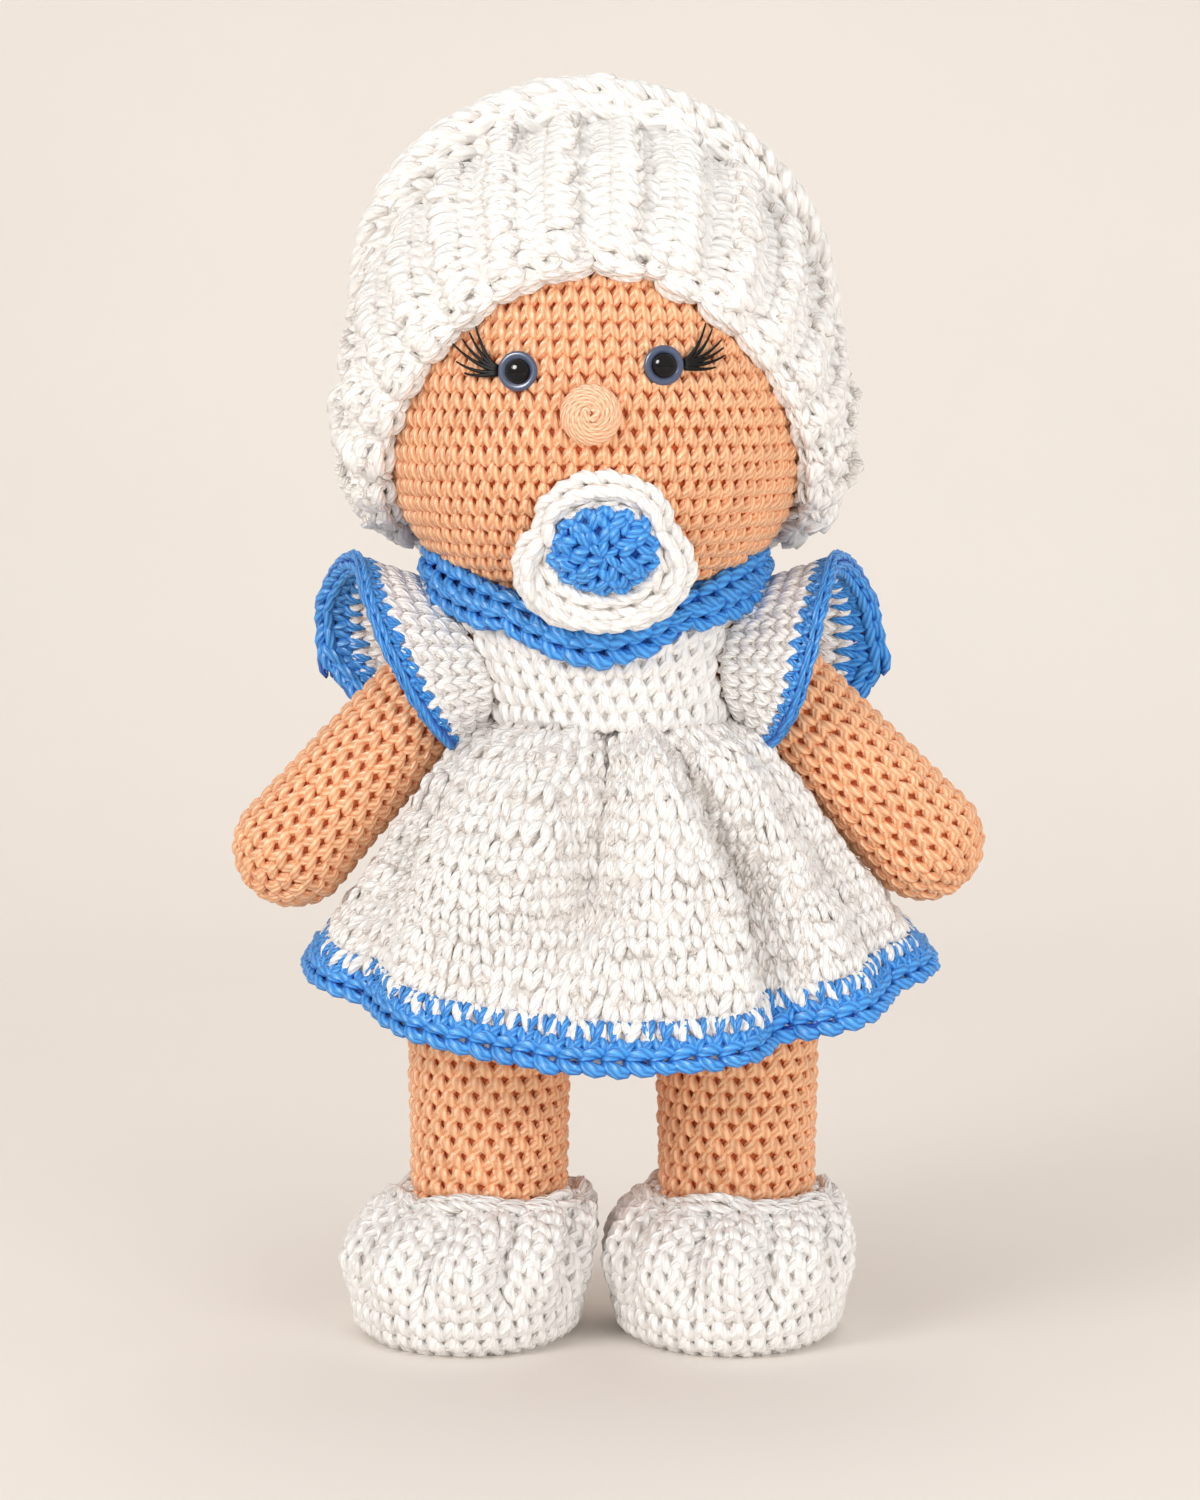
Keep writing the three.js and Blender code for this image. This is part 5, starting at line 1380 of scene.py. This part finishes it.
class DOLL_OT_dress(bpy.types.Operator):
    """Dress: plain bodice, gathered skirt in tall stitches and its blue hem"""

    bl_idname = "doll.dress"
    bl_label = "Dress"

    def execute(self, context):
        bodice = shell("dress_bodice_cloth", bodice_place, np.linspace(0, 1, 16), -1.3, -2.7, 96)
        cut(bodice, lathe("armholes", np.array([0, 0, SHOULDER_HEIGHT]), (1, 0, 0),
                          [(0, -90), (ARMHOLE, -90), (ARMHOLE, 90), (0, 90)], 48))
        dressed(bodice, "trunk", "white", "dress_bodice")
        cell, tall, link = cell_of("cloth"), cell_of("skirt"), cell_of("link")
        rows = even_rows(bodice_place, 0, 1, cell[1])
        laid = joined(
            lay(bodice_place, rows, cell, lean=0.42, keep=clear_of_armhole, thick=1.22),
            lay(bodice_place, rows, cell, -3.4, inner=True, keep=lambda place, level:
                clear_of_armhole(place, level) & (level > 0.55)))
        stitches = work("dress_bodice_stitches", laid, cell, SINGLE, "white", "trunk", 31, turn=0.1, size=0.08)

        skirt = shell("dress_skirt_cloth", skirt_place, np.linspace(0, 0.985, 36), -1.2, -2.2, 360)
        dressed(skirt, "trunk", "white", "dress_skirt")
        rows = even_rows(skirt_place, 0, HEM_START + 0.015, tall[1])
        laid = lay(skirt_place, rows, tall, lean=0.5)
        outer = work("dress_skirt_stitches", laid, tall, TALL, "white", "trunk", 33, turn=0.26, size=0.2)
        laid = lay(skirt_place, rows, tall, -3.4, 0.35, inner=True)
        inner = work("dress_skirt_lining_stitches", laid, tall, TALL, "white", "trunk", 34, turn=0.1, size=0.1)
        laid = lay_both(skirt_place, [HEM_START - 0.004, HEM_START + 0.046], link, 0.6, -3.9)
        hem = work("skirt_hem_stitches", laid, link, SINGLE, "blue", "trunk", 35, turn=0.15)
        laid = lay(skirt_place, [HEM_START - 0.046, HEM_START + 0.012], TOOTH[0], 0.9)
        spikes = work("skirt_hem_teeth", laid, TOOTH[0], TOOTH, "blue", "trunk", 37, turn=0.12, size=0.15)
        braid = [HEM_START + 0.034, 1.0]
        laid = joined(lay(skirt_place, braid, link, 0.9, along=True), lay(hem_edge_place, [0.3, 0.7], link, along=True),
                      lay(skirt_place, braid, link, -4.2, along=True, inner=True))
        rim = work("skirt_hem_edge", laid, link, CHAIN, "blue", "trunk", 36, turn=0.12, size=0.1)
        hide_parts("skirt_hem")
        return {"FINISHED"}


class DOLL_OT_collar(bpy.types.Operator):
    """Blue collar of chain stitches with round lobes"""

    bl_idname = "doll.collar"
    bl_label = "Collar"

    def execute(self, context):
        collar = shell("collar_cloth", collar_place, np.linspace(0, 1, 6), -1.6, -3.4, 144)
        dressed(collar, "trunk", "blue", "collar")
        cell = cell_of("link")
        laid = joined(lay(collar_place, [-0.1, 0.5, 1.08], cell, 0.6, 0.5, along=True),
                      lay(collar_place, [0.0, 1.0], cell, -4.4, along=True, inner=True))
        stitches = work("collar_stitches", laid, cell, CHAIN, "blue", "trunk", 41, turn=0.18, size=0.1)
        return {"FINISHED"}


class DOLL_OT_flutters(bpy.types.Operator):
    """Frilled sleeve flutters with blue edges"""

    bl_idname = "doll.flutters"
    bl_label = "Sleeve flutters"

    def execute(self, context):
        cell, link = cell_of("cloth"), cell_of("link")
        for side, name in SIDES:
            flutter, place, edge_of = name + "_flutter", flutter_place(side), flutter_edge_place(side)
            cloth = strip(flutter + "_cloth", place, 90, np.linspace(0, 0.985, 14), 0.5)
            dressed(cloth, "trunk", "white", flutter)
            laid = lay_both(swapped(place), np.linspace(0, 1, 26), cell, 1.5, -1.5, end=0.84, along=True)
            stitches = work(flutter + "_stitches", laid, cell, SINGLE, "white", "trunk", 51 + side, turn=0.1, size=0.08)
            laid = lay_both(place, [0.82, 0.97], cell, 1.7, -1.7, end=1.0)
            trim = work(flutter + "_trim_stitches", laid, cell, SINGLE, "blue", "trunk", 54 + side)
            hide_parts(name + "_flutter_trim")
            laid = lay_both(place, [0.71, 0.85], TOOTH[0], 2.2, -2.2, end=1.0)
            laid = laid._replace(up=-laid.up)
            spikes = work(flutter + "_teeth", laid, TOOTH[0], TOOTH, "blue", "trunk", 60 + side, turn=0.12, size=0.15)
            laid = joined(lay(edge_of, [-0.1, 0.4], link, 0.7, end=1.0, along=True, thick=1.2),
                          lay(edge_of, [0.6, 1.1], link, 0.7, end=1.0, along=True, first=0.5, thick=1.2))
            rim = work(flutter + "_edge", laid, link, CHAIN, "blue", "trunk", 57 + side)
        return {"FINISHED"}


# ---------------------------------------------------------------- properties, panel, run

def colour_property(name, description, rgb):
    return FloatVectorProperty(
        name=name, description=description, subtype="COLOR_GAMMA", size=3, min=0, max=1,
        default=tuple(c / 255 for c in rgb))


class DollColours(bpy.types.PropertyGroup):
    # The yarn colours are those of the strands' crowns. Each shade colour is painted shade that the yarn takes deep
    # between its strands, in its ply grooves and on the cloth behind the gaps.
    skin: colour_property("Skin yarn", "Cotton of the head, arms and legs", (255, 207, 161))
    skin_shade: colour_property("Skin yarn in shade", "Its colour deep between the strands", (238, 121, 60))
    nose: colour_property("Nose yarn", "Fine yarn wound into the nose", (255, 215, 177))
    white: colour_property("White yarn", "Cotton of the bonnet, dress and booties", (253, 251, 248))
    white_shade: colour_property("White yarn in shade", "Its colour deep between the strands", (243, 236, 230))
    blue: colour_property("Blue yarn", "Cotton of the collar and the edgings", (78, 172, 250))
    blue_shade: colour_property("Blue yarn in shade", "Its colour deep between the strands", (4, 78, 178))
    backdrop: colour_property("Backdrop", "Paper of the floor and the backdrop", (244, 237, 230))
    key_power: FloatProperty(name="Key lamp", description="Power of the main lamp", default=14.2, min=0, unit="POWER")
    room_level: FloatProperty(name="Room level", description="Strength of the light all round", default=0.66, min=0)


# Each kind of stitch, what it is part of, and its width and height in millimetres
STITCH_SIZES = (
    ("face", "a stitch of the head", 5.1, 5.6),
    ("arm", "a stitch of the arms", 5.7, 5.5),
    ("limb", "a stitch of the legs and the torso", 6.6, 5.2),
    ("cloth", "a plain stitch of the white pieces", 6.0, 5.6),
    ("skirt", "a tall stitch of the skirt", 6.8, 13.3),
    ("rib", "a stitch across a rib of the bonnet", 8.8, 4.1),
    ("loop", "a loop of the bonnet's lip, its edge and the frills", 6.2, 8.4),
    ("link", "a chain link of the collar and the edgings", 5.4, 7.2),
    ("button", "a stitch of the pacifier's button", 6.4, 5.4),
)


class DollStitches(bpy.types.PropertyGroup):
    __annotations__ = {
        kind + "_" + way: FloatProperty(
            name=(kind + " " + way).capitalize(), description=way.capitalize() + " of " + what, default=size * MM,
            min=0.002, max=0.03, unit="LENGTH")
        for kind, what, *sizes in STITCH_SIZES for way, size in zip(("width", "height"), sizes)
    }
    unevenness: FloatProperty(
        name="Unevenness", description="Share of the hand-made unevenness", default=1.0, min=0, max=2)
    seed: IntProperty(name="Seed", description="Seed of the hand-made unevenness", default=7)


class DOLL_PT_sidebar(bpy.types.Panel):
    bl_idname = "DOLL_PT_sidebar"
    bl_label = "Crocheted doll"
    bl_space_type = "VIEW_3D"
    bl_region_type = "UI"
    bl_category = "Doll"

    def draw(self, context):
        for group in (context.scene.doll_colours, context.scene.doll_stitches):
            for name in type(group).__annotations__:
                self.layout.prop(group, name)
        for operator in OPERATORS:
            self.layout.operator(operator.bl_idname)


OPERATORS = [
    DOLL_OT_stage, DOLL_OT_head, DOLL_OT_face, DOLL_OT_pacifier, DOLL_OT_body, DOLL_OT_bonnet, DOLL_OT_arms,
    DOLL_OT_legs, DOLL_OT_booties, DOLL_OT_dress, DOLL_OT_collar, DOLL_OT_flutters,
]
CLASSES = [DollColours, DollStitches, *OPERATORS, DOLL_PT_sidebar]


def register():
    for made in CLASSES:
        bpy.utils.register_class(made)
    bpy.types.Scene.doll_colours = PointerProperty(type=DollColours)
    bpy.types.Scene.doll_stitches = PointerProperty(type=DollStitches)


def unregister():
    del bpy.types.Scene.doll_stitches
    del bpy.types.Scene.doll_colours
    for made in reversed(CLASSES):
        bpy.utils.unregister_class(made)


def main():
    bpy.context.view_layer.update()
    register()
    for operator in OPERATORS:
        group, name = operator.bl_idname.split(".")
        getattr(getattr(bpy.ops, group), name)()


if __name__ == "__main__":
    main()
